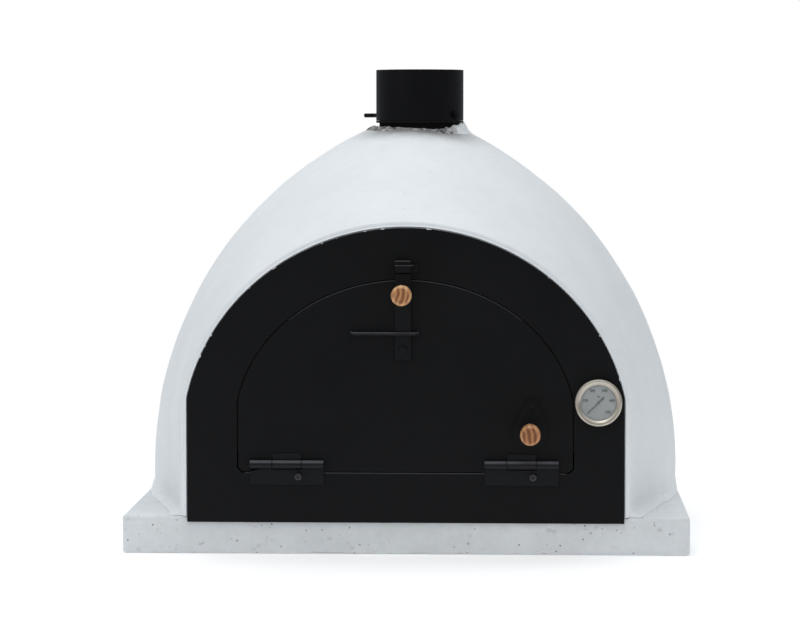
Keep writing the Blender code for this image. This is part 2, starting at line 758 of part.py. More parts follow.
# ---- thermometer -----------------------------------------------------------
def thermometer():
    seat_y = PLATE_FACE - GAP
    place = (GAUGE_X, seat_y, GAUGE_Z)
    r, depth = GAUGE_R, GAUGE_DEPTH
    case = turned(
        "thermometer_case",
        [
            (r - 0.0040, depth), (r - 0.0012, depth), (r, depth - 0.0012), (r, depth - 0.0060),
            (r - 0.0015, depth - 0.0070), (r - 0.0015, 0.0), (0.0048, 0.0), (0.0048, 0.0015),
            (r - 0.0030, 0.0015), (r - 0.0030, depth - 0.0035), (r - 0.0040, depth - 0.0035),
        ],
        place, TOWARDS_FRONT, 32,
    )
    finish(case, "bezel")
    stem_reach = GAUGE_STEM_BACK - seat_y
    stem = turned(
        "thermometer_stem",
        [(0.0, 0.0045), (0.0080, 0.0045), (0.0080, 0.0018), (GAUGE_STEM_R, 0.0018), (GAUGE_STEM_R, -stem_reach),
         (0.0, -stem_reach)],
        place, TOWARDS_FRONT, 20,
    )
    finish(stem, "zinc")
    dial_r = r - 0.0034
    dial = turned("thermometer_dial", [(0.0022, 0.0062), (dial_r, 0.0062), (dial_r, 0.0052), (0.0022, 0.0052)],
                  place, TOWARDS_FRONT, 32)
    finish(dial, "dial")
    lens = turned("thermometer_lens", [(0.0, 0.0102), (dial_r, 0.0102), (dial_r, 0.0088), (0.0, 0.0088)],
                  place, TOWARDS_FRONT, 32)
    finish(lens, "glass")
    thermometer_pointer(seat_y)


def thermometer_pointer(seat_y):
    shaft = pivot("pointer_shaft", (GAUGE_X, seat_y - 0.007, GAUGE_Z))
    ahead = Vector((-math.sin(POINTER_START), math.cos(POINTER_START)))
    side = Vector((ahead.y, -ahead.x))
    centre = Vector((GAUGE_X, GAUGE_Z))
    shape = [(-0.011, 0.0011), (0.0, 0.0018), (0.029, 0.0003), (0.029, -0.0003), (0.0, -0.0018), (-0.011, -0.0011)]
    outline = [tuple(centre + ahead * along + side * across) for along, across in shape]
    needle = flat("thermometer_pointer", [outline], seat_y - 0.0074, seat_y - 0.0068)
    hub = rod("pointer_hub", (GAUGE_X, seat_y - 0.0052, GAUGE_Z), TOWARDS_FRONT, 0.0030, 0.0017, 14)
    cap = rod("pointer_cap", (GAUGE_X, seat_y - 0.0066, GAUGE_Z), TOWARDS_FRONT, 0.0016, 0.0036, 16)
    finish(join(needle, hub, cap), "pointer")
    hang(needle, shaft)


# ---- chimney ---------------------------------------------------------------
def chimney():
    place = (FLUE_X, 0, 0)
    tube = turned(
        "chimney_tube",
        [(TUBE_R, TUBE_TOP), (TUBE_R, TUBE_FOOT), (TUBE_R - TUBE_WALL, TUBE_FOOT), (TUBE_R - TUBE_WALL, TUBE_TOP)],
        place, steps=40,
    )
    spindle_start = Vector((FLUE_X, 0, DAMPER_Z)) - DAMPER_DIR * 0.15
    cut(tube, rod("spindle_holes", spindle_start, DAMPER_DIR, 0.30, SPINDLE_R + 0.0006, 16))
    finish(tube, "black_steel")
    flange = TUBE_FOOT - GAP
    inside = THROAT_R - THROAT_WALL
    throat = turned(
        "flue_throat",
        [
            (THROAT_R, THROAT_TOP), (THROAT_R, flange), (TUBE_R, flange), (TUBE_R, flange - 0.004),
            (THROAT_R, flange - 0.004), (THROAT_R, THROAT_FOOT), (inside, THROAT_FOOT), (inside, THROAT_TOP),
        ],
        place, steps=40,
    )
    finish(throat, "black_steel")
    inner = THROAT_R + GAP
    collar = turned(
        "mortar_collar",
        [
            (inner, flange - 0.005), (0.0840, flange - 0.006), (0.0930, 0.7510), (COLLAR_R, 0.7460), (COLLAR_R, 0.7200),
            (inner, 0.7300),
        ],
        place, steps=40,
    )
    finish(collar, "mortar")


def damper():
    centre = Vector((FLUE_X, 0, DAMPER_Z))
    turn = pivot("damper_axis", centre)
    back_flat = 0.020
    start = centre - DAMPER_DIR * SPINDLE_BACK
    spindle = rod("damper_spindle", start, DAMPER_DIR, SPINDLE_BACK + SPINDLE_FRONT, SPINDLE_R)
    finish(spindle, "black_steel")
    grip = block("damper_grip", (-0.004, -0.007, -back_flat / 2), (0.004, 0.007, back_flat / 2), 0.0025)
    grip.rotation_mode = "QUATERNION"
    grip.rotation_quaternion = DAMPER_DIR.to_track_quat("Z", "X")
    grip.location = centre - DAMPER_DIR * (SPINDLE_BACK + GAP + back_flat / 2)
    finish(grip, "black_steel")
    top = DAMPER_Z + SPINDLE_R + GAP
    disc = rod("damper_disc", (FLUE_X, 0, top), Z_AXIS, DAMPER_THICK, DAMPER_R, 40)
    screw_holes = []
    for number, along in enumerate((-DAMPER_SCREW_AT, DAMPER_SCREW_AT), 1):
        spot = centre + DAMPER_DIR * along
        hole_start = (spot.x, spot.y, DAMPER_Z - 0.02)
        screw_holes.append(rod(f"damper_hole_{number}", hole_start, Z_AXIS, 0.04, 0.0019, 12))
        seat = top + DAMPER_THICK + GAP
        profile = [(0.0, 0.002), (0.0028, 0.002), (0.0034, 0.0), (0.0016, 0.0), (0.0016, -0.0075), (0.0, -0.0075)]
        screw = turned(f"damper_screw_{number}", profile, (spot.x, spot.y, seat), Z_AXIS, 12)
        finish(screw, "zinc")
        hang(screw, turn)
    cut(spindle, *screw_holes)
    cut(disc, *screw_holes)
    finish(disc, "black_steel")
    nut_start = centre + DAMPER_DIR * (TUBE_R + 0.0008)
    nut = rod("damper_nut", nut_start, DAMPER_DIR, 0.0055, 0.0075, 6)
    cut(nut, rod("nut_bore", centre, DAMPER_DIR, 0.12, SPINDLE_R + GAP, 20))
    finish(nut, "zinc")
    for piece in (spindle, grip, disc, nut):
        hang(piece, turn)


def build():
    base_slab()
    hearth()
    brick_dome()
    mouth_vault()
    insulation_blanket()
    render_shell()
    face_plate()
    door_frame()
    door_pivot = pivot("door_axis", (0, HINGE_Y, HINGE_Z))
    door(door_pivot)
    for side, centre_x in zip(("left", "right"), HINGE_X):
        hinge(side, centre_x, door_pivot)
    latch(door_pivot)
    latch_keeper()
    draught_cover(door_pivot)
    thermometer()
    chimney()
    damper()


build()
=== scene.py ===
"""Looks of the wood fired pizza oven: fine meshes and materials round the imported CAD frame.

Metres, +Z up, in the CAD's own frame: the origin is the centre of the slab's underside
and the oven's mouth faces -Y.
"""
import json
import math
import random

import bmesh
import bpy
import numpy as np
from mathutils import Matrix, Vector, noise
from mathutils.bvhtree import BVHTree
from mathutils.kdtree import KDTree

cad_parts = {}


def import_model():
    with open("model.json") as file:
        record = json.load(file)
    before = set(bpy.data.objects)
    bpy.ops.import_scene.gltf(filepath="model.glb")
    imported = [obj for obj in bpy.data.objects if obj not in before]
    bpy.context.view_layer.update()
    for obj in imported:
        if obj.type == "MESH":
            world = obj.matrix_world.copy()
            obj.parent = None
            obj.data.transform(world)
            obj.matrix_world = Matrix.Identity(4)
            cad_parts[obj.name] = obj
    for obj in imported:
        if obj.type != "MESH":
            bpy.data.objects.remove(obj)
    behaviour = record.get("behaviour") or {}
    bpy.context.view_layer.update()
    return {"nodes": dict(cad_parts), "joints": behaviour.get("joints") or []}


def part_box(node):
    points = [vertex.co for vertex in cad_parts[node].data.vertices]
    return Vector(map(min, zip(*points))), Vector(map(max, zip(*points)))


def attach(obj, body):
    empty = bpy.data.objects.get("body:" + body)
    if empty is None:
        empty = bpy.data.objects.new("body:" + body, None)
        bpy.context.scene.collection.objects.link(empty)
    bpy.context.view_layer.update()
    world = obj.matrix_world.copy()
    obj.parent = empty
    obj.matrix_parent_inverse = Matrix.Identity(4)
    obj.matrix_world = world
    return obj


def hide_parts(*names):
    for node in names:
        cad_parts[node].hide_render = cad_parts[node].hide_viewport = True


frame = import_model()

X_AXIS = Vector((1, 0, 0))
Y_AXIS = Vector((0, 1, 0))
Z_AXIS = Vector((0, 0, 1))
TO_FRONT = Vector((0, -1, 0))

# ---- places read from the frame --------------------------------------------
SLAB_LOW, SLAB_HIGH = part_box("base_slab")
PLATE_LOW, PLATE_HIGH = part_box("face_plate")
DOOR_LOW, DOOR_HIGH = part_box("door_panel")
TUBE_LOW, TUBE_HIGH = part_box("chimney_tube")
CASE_LOW, CASE_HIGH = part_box("thermometer_case")
JOINTS = {joint["name"]: joint for joint in frame["joints"]}

FRONT_Y = SLAB_LOW.y
SLAB_TOP = SLAB_HIGH.z
FOOT_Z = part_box("render_shell")[0].z
PLATE_FACE = PLATE_LOW.y
PLATE_BACK = PLATE_HIGH.y
FLUE = Vector(((TUBE_LOW.x + TUBE_HIGH.x) / 2, 0, 0))

# ---- shape of the dome and the arches, as designed -------------------------
DOME_ARC_R = 0.705
DOME_ARC_CENTRE_R = -0.2076
DOME_ARC_CENTRE_Z = 0.107
SHELL_THICK = 0.025
SHELL_MARGIN = 0.010
LIP_R = 0.0062
HOLE_R = 0.0885
HINGE_THICK = 0.003
# half width, ellipse half width, ellipse height, ellipse centre z, foot z
PLATE_ARCH = (PLATE_HIGH.x, 0.392, 0.374, 0.200, PLATE_LOW.z)
DOOR_ARCH = (DOOR_HIGH.x, 0.298, 0.2576, 0.225, DOOR_LOW.z)
DOOR_GAP = 0.0025
ARCH_STEPS = 96
BRICK_RING_R = 0.35
BRICK_LONG = 0.115
BRICK_SHORT = 0.064
BRICK_JOINT = 0.004
VAULT_CENTRE_Z = 0.225


# ---- node materials --------------------------------------------------------
class Nodes:
    """A node tree, with a short way to add to it."""

    def __init__(self, tree):
        self.tree = tree

    def add(self, kind, inputs=None, **settings):
        """Add a node; each of its inputs is given as a value or as a socket to link."""
        item = self.tree.nodes.new(kind)
        for key, value in settings.items():
            setattr(item, key, value)
        for key, value in (inputs or {}).items():
            self.put(value, item.inputs[key])
        return item

    def put(self, value, target):
        if isinstance(value, bpy.types.NodeSocket):
            self.tree.links.new(value, target)
        else:
            target.default_value = value


class Look(Nodes):
    """A Principled material, with helpers for the nodes that feed it."""

    def __init__(self, name, **sockets):
        self.material = bpy.data.materials.new(name)
        self.material.use_nodes = True
        super().__init__(self.material.node_tree)
        self.shader = self.tree.nodes["Principled BSDF"]
        coordinates = self.add("ShaderNodeTexCoord")
        self.place, self.normal = coordinates.outputs["Object"], coordinates.outputs["Normal"]
        for socket, value in sockets.items():
            self.feed(socket.replace("_", " "), value)

    def feed(self, socket, value):
        self.put(value, self.shader.inputs[socket])

    def stretched(self, scale):
        return self.add("ShaderNodeMapping", {"Scale": scale, "Vector": self.place}).outputs["Vector"]

    def noise(self, scale, detail=4.0, rough=0.55, distortion=0.0, vector=None):
        inputs = {"Scale": scale, "Detail": detail, "Roughness": rough, "Distortion": distortion,
                  "Vector": vector or self.place}
        return self.add("ShaderNodeTexNoise", inputs).outputs["Fac"]

    def cells(self, scale):
        return self.add("ShaderNodeTexVoronoi", {"Scale": scale, "Vector": self.place}).outputs["Distance"]

    def span(self, source, low, high, to_low=0.0, to_high=1.0):
        """Map low..high onto to_low..to_high, clamped."""
        inputs = {"Value": source, "From Min": low, "From Max": high, "To Min": to_low, "To Max": to_high}
        return self.add("ShaderNodeMapRange", inputs).outputs["Result"]

    def math(self, operation, first, second):
        return self.add("ShaderNodeMath", {0: first, 1: second}, operation=operation).outputs["Value"]

    def times(self, first, second):
        return self.math("MULTIPLY", first, second)

    def plus(self, first, second):
        return self.math("ADD", first, second)

    def mix(self, share, first, second, blend="MIX"):
        """Mix two colours, each a socket or an (r, g, b)."""
        first, second = [(*c, 1.0) if isinstance(c, tuple) else c for c in (first, second)]
        inputs = {"Factor": share, 6: first, 7: second}
        return self.add("ShaderNodeMix", inputs, data_type="RGBA", blend_type=blend).outputs[2]

    def bump(self, height, distance, strength=1.0, under=None):
        inputs = {"Height": height, "Distance": distance, "Strength": strength}
        if under is not None:
            inputs["Normal"] = under
        return self.add("ShaderNodeBump", inputs).outputs["Normal"]

    def axis(self, name, vector=None):
        return self.add("ShaderNodeSeparateXYZ", {"Vector": vector or self.place}).outputs[name]


def render_look(name, light, dark, stain=0.0, pits=0.35):
    """White cement render: mottled, sandy, finely pitted; the pits are coloured dark grey, a painted shade in
    them, partly dirt.
    """
    look = Look(name, Roughness=0.93, Specular_IOR_Level=0.25)
    broad = look.noise(5.5, 5, 0.6)
    fine = look.noise(60, 6, 0.65)
    tone = look.plus(look.times(broad, 0.65), look.times(fine, 0.35))
    colour = look.mix(look.span(tone, 0.32, 0.68), dark, light)
    dots = look.plus(look.cells(78), look.times(look.noise(330, 3, 0.7), 0.16))
    holes = look.span(dots, 0.14, 0.25, 1.0, 0.0)
    some = look.span(look.noise(17, 2), 0.62 - 0.14 * pits, 0.66 - 0.14 * pits)
    pocks = look.times(holes, some)
    # Painted shade in the pits, partly dirt: the pits are coloured dark grey.
    colour = look.mix(look.times(pocks, pits), colour, (0.24, 0.24, 0.235))
    if stain:
        blotch = look.span(look.noise(9, 4, 0.6, 0.6), 0.56, 0.74, 0.0, stain)
        colour = look.mix(blotch, colour, (0.62, 0.57, 0.45))
    look.feed("Base Color", colour)
    trowel = look.noise(26, 4, 0.5, 0.4, look.stretched((1.0, 1.0, 2.2)))
    under = look.bump(trowel, 0.0030, 0.30)
    under = look.bump(look.math("SUBTRACT", 1.0, pocks), 0.0012, 0.8, under)
    look.feed("Normal", look.bump(look.noise(420, 5, 0.7), 0.0007, 0.45, under))
    return look


def shell_look():
    """Render darkened round the front of the flue, below the mortar: painted shade, partly soot."""
    look = render_look("shell_white", (0.80, 0.83, 0.855), (0.735, 0.765, 0.79), pits=0.18)
    base = look.shader.inputs["Base Color"].links[0].from_socket
    inputs = {"Location": (-FLUE.x, 0, 0), "Scale": (1, 1, 0), "Vector": look.place}
    plan = look.add("ShaderNodeMapping", inputs)
    away = look.add("ShaderNodeVectorMath", {0: plan.outputs["Vector"]}, operation="DISTANCE")
    radius = look.plus(away.outputs["Value"], look.times(look.noise(45, 4), 0.016))
    # Painted shade, partly soot: darkest next to the mortar, fading outwards, strongest at the front.
    soot_and_shade = look.span(radius, 0.110, 0.162, 1.0, 0.0)
    soot_and_shade = look.times(soot_and_shade, soot_and_shade)
    soot_and_shade = look.times(soot_and_shade, look.span(look.axis("Y"), -0.090, -0.02, 0.88, 0.10))
    look.feed("Base Color", look.mix(soot_and_shade, base, (0.13, 0.125, 0.12)))
    return look.material


def slab_look():
    look = render_look("slab_white", (0.74, 0.765, 0.785), (0.60, 0.625, 0.645), stain=0.30, pits=0.95)
    return look.material


def paint_look(name, colour, rough=(0.42, 0.62), dust=0.003, shine=0.12, top_highlight_grey=0.0):
    """Matte heat-proof paint on steel: fine texture, rubbed patches, lighter dusty patches, and upward faces
    that can be painted lighter as a highlight.
    """
    look = Look(name, Specular_IOR_Level=shine)
    broad = look.noise(7, 4, 0.6)
    fine = look.noise(300, 3, 0.6)
    lighter = tuple(c + dust for c in colour)
    base = look.mix(look.times(look.span(broad, 0.35, 0.75), 0.5), colour, lighter)
    # Painted highlight: upward faces are mixed towards a lighter grey, standing in for the light they catch.
    if top_highlight_grey:
        upward = look.span(look.axis("Z", look.normal), 0.25, 0.90)
        share = look.times(upward, look.span(fine, 0.2, 0.6, 0.7, 1.0))
        base = look.mix(share, base, (top_highlight_grey, top_highlight_grey * 1.06, top_highlight_grey * 1.20))
    look.feed("Base Color", base)
    patch = look.plus(look.times(broad, 0.6), look.times(fine, 0.4))
    look.feed("Roughness", look.span(patch, 0.35, 0.65, *rough))
    under = look.bump(look.noise(14, 2), 0.0010, 0.10)
    look.feed("Normal", look.bump(fine, 0.00012, 0.35, under))
    return look.material


def metal_look(name, colour, rough=(0.22, 0.36), streak=(40, 40, 900)):
    """Bare plated or stainless metal with fine turning marks."""
    look = Look(name, Metallic=1.0)
    marks = look.noise(1.0, 3, 0.6, 0, look.stretched(streak))
    darker = tuple(c * 0.82 for c in colour)
    look.feed("Base Color", look.mix(look.span(look.noise(35, 3), 0.35, 0.7), colour, darker))
    look.feed("Roughness", look.span(marks, 0.3, 0.7, *rough))
    look.feed("Normal", look.bump(marks, 0.00008, 0.25))
    return look.material


def wood_look(name, heart, dark, light):
    """Turned hardwood: growth rings round the heart (x, z) on the end, streaks along Y."""
    look = Look(name, Specular_IOR_Level=0.4, Coat_Weight=0.12, Coat_Roughness=0.35)
    round_heart = look.add("ShaderNodeMapping", {
        "Location": (-heart[0], 0, -heart[1]), "Scale": (1.0, 0.05, 1.0), "Vector": look.place,
    })
    rings = look.add("ShaderNodeTexWave", {
        "Scale": 34, "Distortion": 3.0, "Detail": 3, "Detail Scale": 2.0,
        "Vector": round_heart.outputs["Vector"],
    }, wave_type="RINGS", rings_direction="Y").outputs["Fac"]
    fibre = look.noise(1.0, 5, 0.65, 0.2, look.stretched((900, 26, 900)))
    pores = look.span(look.noise(1.0, 2, 0.6, 0, look.stretched((1500, 60, 1500))), 0.62, 0.72)
    share = look.plus(look.times(rings, 0.50), look.times(fibre, 0.55))
    colour = look.mix(look.span(share, 0.20, 0.92), dark, light)
    end_grain = look.span(look.axis("Y", look.normal), -0.97, -0.86, 1.0, 0.0)
    shade = look.mix(rings, (0.44, 0.32, 0.25), (0.80, 0.66, 0.56))
    colour = look.mix(end_grain, colour, look.mix(1.0, colour, shade, "MULTIPLY"))
    look.feed("Base Color", look.mix(look.times(pores, 0.55), colour, (0.13, 0.05, 0.022)))
    look.feed("Roughness", look.span(fibre, 0.3, 0.7, 0.38, 0.55))
    look.feed("Normal", look.bump(fibre, 0.00025, 0.5))
    return look.material


def plain_look(name, light, dark, scale, rough=0.9, depth=0.0004, **sockets):
    """A matte mineral or paper surface with two tones and a fine bump."""
    look = Look(name, Roughness=rough, **sockets)
    look.feed("Base Color", look.mix(look.span(look.noise(scale, 5, 0.6), 0.35, 0.68), dark, light))
    look.feed("Normal", look.bump(look.noise(scale * 6, 4, 0.65), depth, 0.6))
    return look.material


def brick_look(name, laid=None):
    """Fired refractory with iron flecks, darker towards the crown where flames reach.

    Bricks are laid in rings round the dome ("dome"), along the mouth's vault ("vault"), or not drawn.
    """
    look = Look(name, Roughness=0.92, Specular_IOR_Level=0.2)
    colour = look.mix(look.span(look.noise(24, 5, 0.6), 0.32, 0.7), (0.36, 0.21, 0.13), (0.60, 0.42, 0.29))
    flecks = look.span(look.cells(260), 0.05, 0.12, 1.0, 0.0)
    colour = look.mix(look.times(flecks, 0.55), colour, (0.16, 0.085, 0.05))
    smoke = look.plus(look.axis("Z"), look.times(look.noise(7, 4), 0.20))
    colour = look.mix(look.span(smoke, 0.30, 0.62, 0.0, 0.80), colour, (0.045, 0.038, 0.034))
    under = look.bump(look.noise(60, 5, 0.6), 0.0016, 0.5)
    if laid:
        joints = brick_joints(look, laid)
        colour = look.mix(joints, colour, (0.11, 0.095, 0.080))
        under = look.bump(look.math("SUBTRACT", 1.0, joints), 0.0040, 0.9, under)
    look.feed("Base Color", colour)
    look.feed("Normal", look.bump(look.noise(380, 4, 0.7), 0.0006, 0.5, under))
    return look.material


def brick_joints(look, laid):
    """1 in the mortar joints, 0 on the bricks."""
    x, y, z = look.axis("X"), look.axis("Y"), look.axis("Z")
    if laid == "dome":
        turn, across = look.math("ARCTAN2", y, x), z
        width, height = BRICK_LONG, BRICK_SHORT
    else:
        turn, across = look.math("ARCTAN2", look.math("SUBTRACT", z, VAULT_CENTRE_Z), x), y
        width, height = BRICK_SHORT, BRICK_LONG
    spot = look.add("ShaderNodeCombineXYZ", {"X": look.times(turn, BRICK_RING_R), "Y": across})
    wall = look.add("ShaderNodeTexBrick", {
        "Scale": 1.0, "Brick Width": width, "Row Height": height, "Mortar Size": BRICK_JOINT,
        "Mortar Smooth": 0.3, "Vector": spot.outputs["Vector"],
    })
    return wall.outputs["Fac"]


def mortar_look(name):
    """Crumbly mortar round the flue: grey with near-black patches, painted shade in the gaps between crumbs,
    dark at the front and whiter away from it.
    """
    look = Look(name, Roughness=0.97, Specular_IOR_Level=0.15)
    lumps = look.noise(95, 6, 0.7)
    # The near-black tone is painted shade between the crumbs.
    colour = look.mix(look.span(lumps, 0.38, 0.64), (0.030, 0.028, 0.028), (0.46, 0.46, 0.46))
    side = look.plus(look.axis("X"), look.times(look.axis("Y"), 0.35))
    side = look.plus(side, look.times(look.noise(30, 4), 0.05))
    look.feed("Base Color", look.mix(look.span(side, 0.060, 0.088), colour, (0.76, 0.79, 0.81)))
    look.feed("Normal", look.bump(look.noise(330, 6, 0.7), 0.0016, 0.8))
    return look.material


def glass_look():
    look = Look("clear_glass", Roughness=0.03, Alpha=0.10, IOR=1.5, Specular_IOR_Level=0.9)
    tone = look.span(look.noise(40, 2), 0.4, 0.6)
    look.feed("Base Color", look.mix(tone, (0.90, 0.93, 0.93), (0.94, 0.96, 0.96)))
    return look.material


LOOKS = {}


def make_looks():
    LOOKS.update(
        shell=shell_look(),
        slab=slab_look(),
        plaster=render_look("plaster_bits", (0.80, 0.82, 0.84), (0.62, 0.63, 0.63), pits=0.3).material,
        paint=paint_look("door_black", (0.0036, 0.0038, 0.0045)),
        hinge=paint_look("hinge_black", (0.0040, 0.0044, 0.0056), (0.34, 0.46), 0.003, 0.16),
        chimney=paint_look("chimney_black", (0.0030, 0.0031, 0.0042), (0.34, 0.46), 0.002, 0.12),
        # barrel: black paint, its upward faces painted lighter as a highlight.
        barrel=paint_look("black_painted_highlight", (0.0040, 0.0044, 0.0058), (0.34, 0.44), 0.003, 0.22, 0.085),
        # edge: lighter black paint, a painted highlight on edges, its upward faces lighter still.
        edge=paint_look("edge_painted_highlight", (0.0080, 0.0086, 0.0105), (0.34, 0.46), 0.004, 0.30, 0.110),
        sooty=paint_look("sooty_steel", (0.0050, 0.0050, 0.0052), (0.60, 0.85), 0.012, 0.10),
        wood_latch=wood_look("latch_wood", (-0.055, 0.470), (0.43, 0.205, 0.085), (0.74, 0.44, 0.215)),
        wood_draught=wood_look("draught_wood", (0.172, 0.212), (0.33, 0.135, 0.051), (0.58, 0.31, 0.140)),
        zinc=metal_look("zinc_plate", (0.66, 0.67, 0.68)),
        bezel=metal_look("bezel_steel", (0.56, 0.52, 0.45), (0.30, 0.44), (30, 600, 30)),
        oxide=metal_look("black_oxide", (0.055, 0.055, 0.060), (0.22, 0.32)),
        dial=plain_look("dial_grey", (0.30, 0.325, 0.33), (0.25, 0.272, 0.276), 30, 0.55, 0.00005),
        ink=plain_look("dial_ink", (0.010, 0.011, 0.012), (0.006, 0.006, 0.007), 200, 0.7, 0.00002,
                       Specular_IOR_Level=0.1),
        glass=glass_look(),
        brick=brick_look("dome_firebrick", "dome"),
        vault=brick_look("vault_firebrick", "vault"),
        tile=brick_look("hearth_tile"),
        board=plain_look("ceramic_board", (0.80, 0.78, 0.73), (0.66, 0.64, 0.60), 30, 0.95, 0.0010),
        mortar=mortar_look("flue_mortar"),
    )


# ---- mesh helpers ----------------------------------------------------------
def show(name, data):
    obj = bpy.data.objects.new(name, data)
    bpy.context.scene.collection.objects.link(obj)
    return obj


def place_mesh(name, bm, look, smooth=35):
    """Put a bmesh in the scene as an object with its material, sharp above the angle smooth."""
    mesh = bpy.data.meshes.new(name)
    bm.to_mesh(mesh)
    bm.free()
    mesh.materials.append(LOOKS[look])
    mesh.shade_smooth()
    if smooth < 180:
        mesh.set_sharp_from_angle(angle=math.radians(smooth))
    return show(name, mesh)


def middle(node):
    low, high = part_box(node)
    return (low + high) / 2


def seat(obj, body, *nodes):
    """The piece rides on the body and stands for the CAD nodes."""
    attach(obj, body)
    if nodes:
        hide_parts(*nodes)
    return obj


def soften(obj, width, segments=2, angle=40, rim=None):
    """Round every sharp edge; the rounding can have its own look."""
    bevel = obj.modifiers.new("edges", "BEVEL")
    bevel.width = width
    bevel.segments = segments
    bevel.limit_method = "ANGLE"
    bevel.angle_limit = math.radians(angle)
    bevel.harden_normals = True
    if rim:
        obj.data.materials.append(LOOKS[rim])
        bevel.material = len(obj.data.materials) - 1
    return obj


def block(name, low, high, look):
    low, high = Vector(low), Vector(high)
    bm = bmesh.new()
    bmesh.ops.create_cube(bm, size=1.0)
    bmesh.ops.scale(bm, vec=high - low, verts=bm.verts)
    bmesh.ops.translate(bm, vec=(low + high) / 2, verts=bm.verts)
    return place_mesh(name, bm, look)


def lathe(name, profile, place, direction, look, steps=96, smooth=35):
    """Turn a closed (radius, height) profile about direction through place."""
    turn = direction.to_track_quat("Z", "Y")
    bm = bmesh.new()
    rings = []
    for r, h in profile:
        count = steps if r > 1e-6 else 1
        ring = []
        for k in range(count):
            angle = 2 * math.pi * k / steps
            spot = Vector((r * math.cos(angle), r * math.sin(angle), h))
            ring.append(bm.verts.new(Vector(place) + turn @ spot))
        rings.append(ring)
    pairs = list(zip(rings, rings[1:]))
    if all(len(ring) > 1 for ring in rings):
        pairs.append((rings[-1], rings[0]))
    for a, b in pairs:
        for k in range(steps):
            corners = [a[k % len(a)], a[(k + 1) % len(a)], b[(k + 1) % len(b)], b[k % len(b)]]
            unique = list(dict.fromkeys(corners))
            if len(unique) > 2:
                bm.faces.new(unique)
    bmesh.ops.recalc_face_normals(bm, faces=bm.faces)
    return place_mesh(name, bm, look, smooth)


def fillet(profile, radius, steps=4):
    """Round the corners of a profile; each radius is cut down where a side is short."""
    points = [Vector(p) for p in profile]
    result = []
    for i, corner in enumerate(points):
        if abs(corner.x) < 1e-7:
            result.append(tuple(corner))
            continue
        a, b = points[i - 1] - corner, points[(i + 1) % len(points)] - corner
        reach = min(radius, a.length * 0.45, b.length * 0.45)
        start, end = corner + a.normalized() * reach, corner + b.normalized() * reach
        for k in range(steps + 1):
            t = k / steps
            result.append(tuple(start * (1 - t) ** 2 + corner * 2 * t * (1 - t) + end * t ** 2))
    return result


def rod(name, start, direction, length, radius, look, steps=32, edge=0.0):
    profile = [(0.0, 0.0), (radius, 0.0), (radius, length), (0.0, length)]
    return lathe(name, fillet(profile, edge, 3) if edge else profile, start, direction, look, steps)


def arch(shape, grow=0.0, foot=None, chamfer=0.0, steps=ARCH_STEPS):
    half, ellipse_half, ellipse_height, centre_z, foot_z = shape
    half += grow
    a, b = ellipse_half + grow, ellipse_height + grow
    foot_z = foot_z - grow if foot is None else foot
    start = math.acos(half / a)
    points = [(-half + chamfer, foot_z), (half - chamfer, foot_z)]
    if chamfer:
        points = [(-half, foot_z + chamfer)] + points + [(half, foot_z + chamfer)]
    for step in range(steps + 1):
        angle = start + (math.pi - 2 * start) * step / steps
        points.append((a * math.cos(angle), centre_z + b * math.sin(angle)))
    return points


def circle(x, z, radius, sides=40):
    turn = 2 * math.pi / sides
    return [(x + radius * math.cos(turn * k), z + radius * math.sin(turn * k)) for k in range(sides)]


def polyline(curve, points, closed):
    spline = curve.splines.new("POLY")
    spline.points.add(len(points) - 1)
    for point, spot in zip(spline.points, points):
        point.co = (*spot, 1.0)
    spline.use_cyclic_u = closed


def flat(name, outlines, front, back, look):
    """Outlines in X and Z, filled between them, from front to back along Y."""
    curve = bpy.data.curves.new(name, "CURVE")
    curve.dimensions = "2D"
    curve.fill_mode = "BOTH"
    curve.extrude = (back - front) / 2
    for outline in outlines:
        polyline(curve, [(x, z, 0.0) for x, z in outline], True)
    holder = show(name, curve)
    holder.rotation_euler = (math.pi / 2, 0, 0)
    holder.location = (0, (front + back) / 2, 0)
    return curve_to_mesh(holder, look)


def wire(name, points, radius, look):
    curve = bpy.data.curves.new(name, "CURVE")
    curve.dimensions = "3D"
    curve.bevel_depth = radius
    curve.bevel_resolution = 6
    curve.use_fill_caps = True
    polyline(curve, points, False)
    return curve_to_mesh(show(name, curve), look)


def curve_to_mesh(holder, look):
    bpy.context.view_layer.update()
    mesh = bpy.data.meshes.new_from_object(holder.evaluated_get(bpy.context.evaluated_depsgraph_get()))
    bm = bmesh.new()
    bm.from_mesh(mesh)
    bmesh.ops.transform(bm, matrix=holder.matrix_world, verts=bm.verts)
    bmesh.ops.remove_doubles(bm, verts=bm.verts, dist=0.00002)
    bmesh.ops.recalc_face_normals(bm, faces=bm.faces)
    name = holder.name
    bpy.data.objects.remove(holder, do_unlink=True)
    bpy.data.meshes.remove(mesh)
    return place_mesh(name, bm, look)


def fuse(obj, other, operation="UNION"):
    """Join or cut obj with another mesh at once, and remove the other."""
    modifier = obj.modifiers.new("fuse", "BOOLEAN")
    modifier.operation = operation
    modifier.object = other
    modifier.solver = "EXACT"
    settle(obj)
    bpy.data.objects.remove(other, do_unlink=True)
    return obj


def settle(obj):
    """Apply the object's modifiers to its mesh."""
    bpy.context.view_layer.update()
    mesh = bpy.data.meshes.new_from_object(obj.evaluated_get(bpy.context.evaluated_depsgraph_get()))
    old = obj.data
    obj.modifiers.clear()
    obj.data = mesh
    bpy.data.meshes.remove(old)
    mesh.shade_smooth()
    mesh.set_sharp_from_angle(angle=math.radians(35))
    return obj


def fractal(point, scale, octaves=3):
    """Layered Perlin noise, about -1 to 1."""
    total, size = 0.0, 1.0
    for octave in range(octaves):
        total += noise.noise(point * (scale * 2 ** octave) + Vector((17.3 * octave, 5.1, 9.7))) * size
        size *= 0.5
    return total


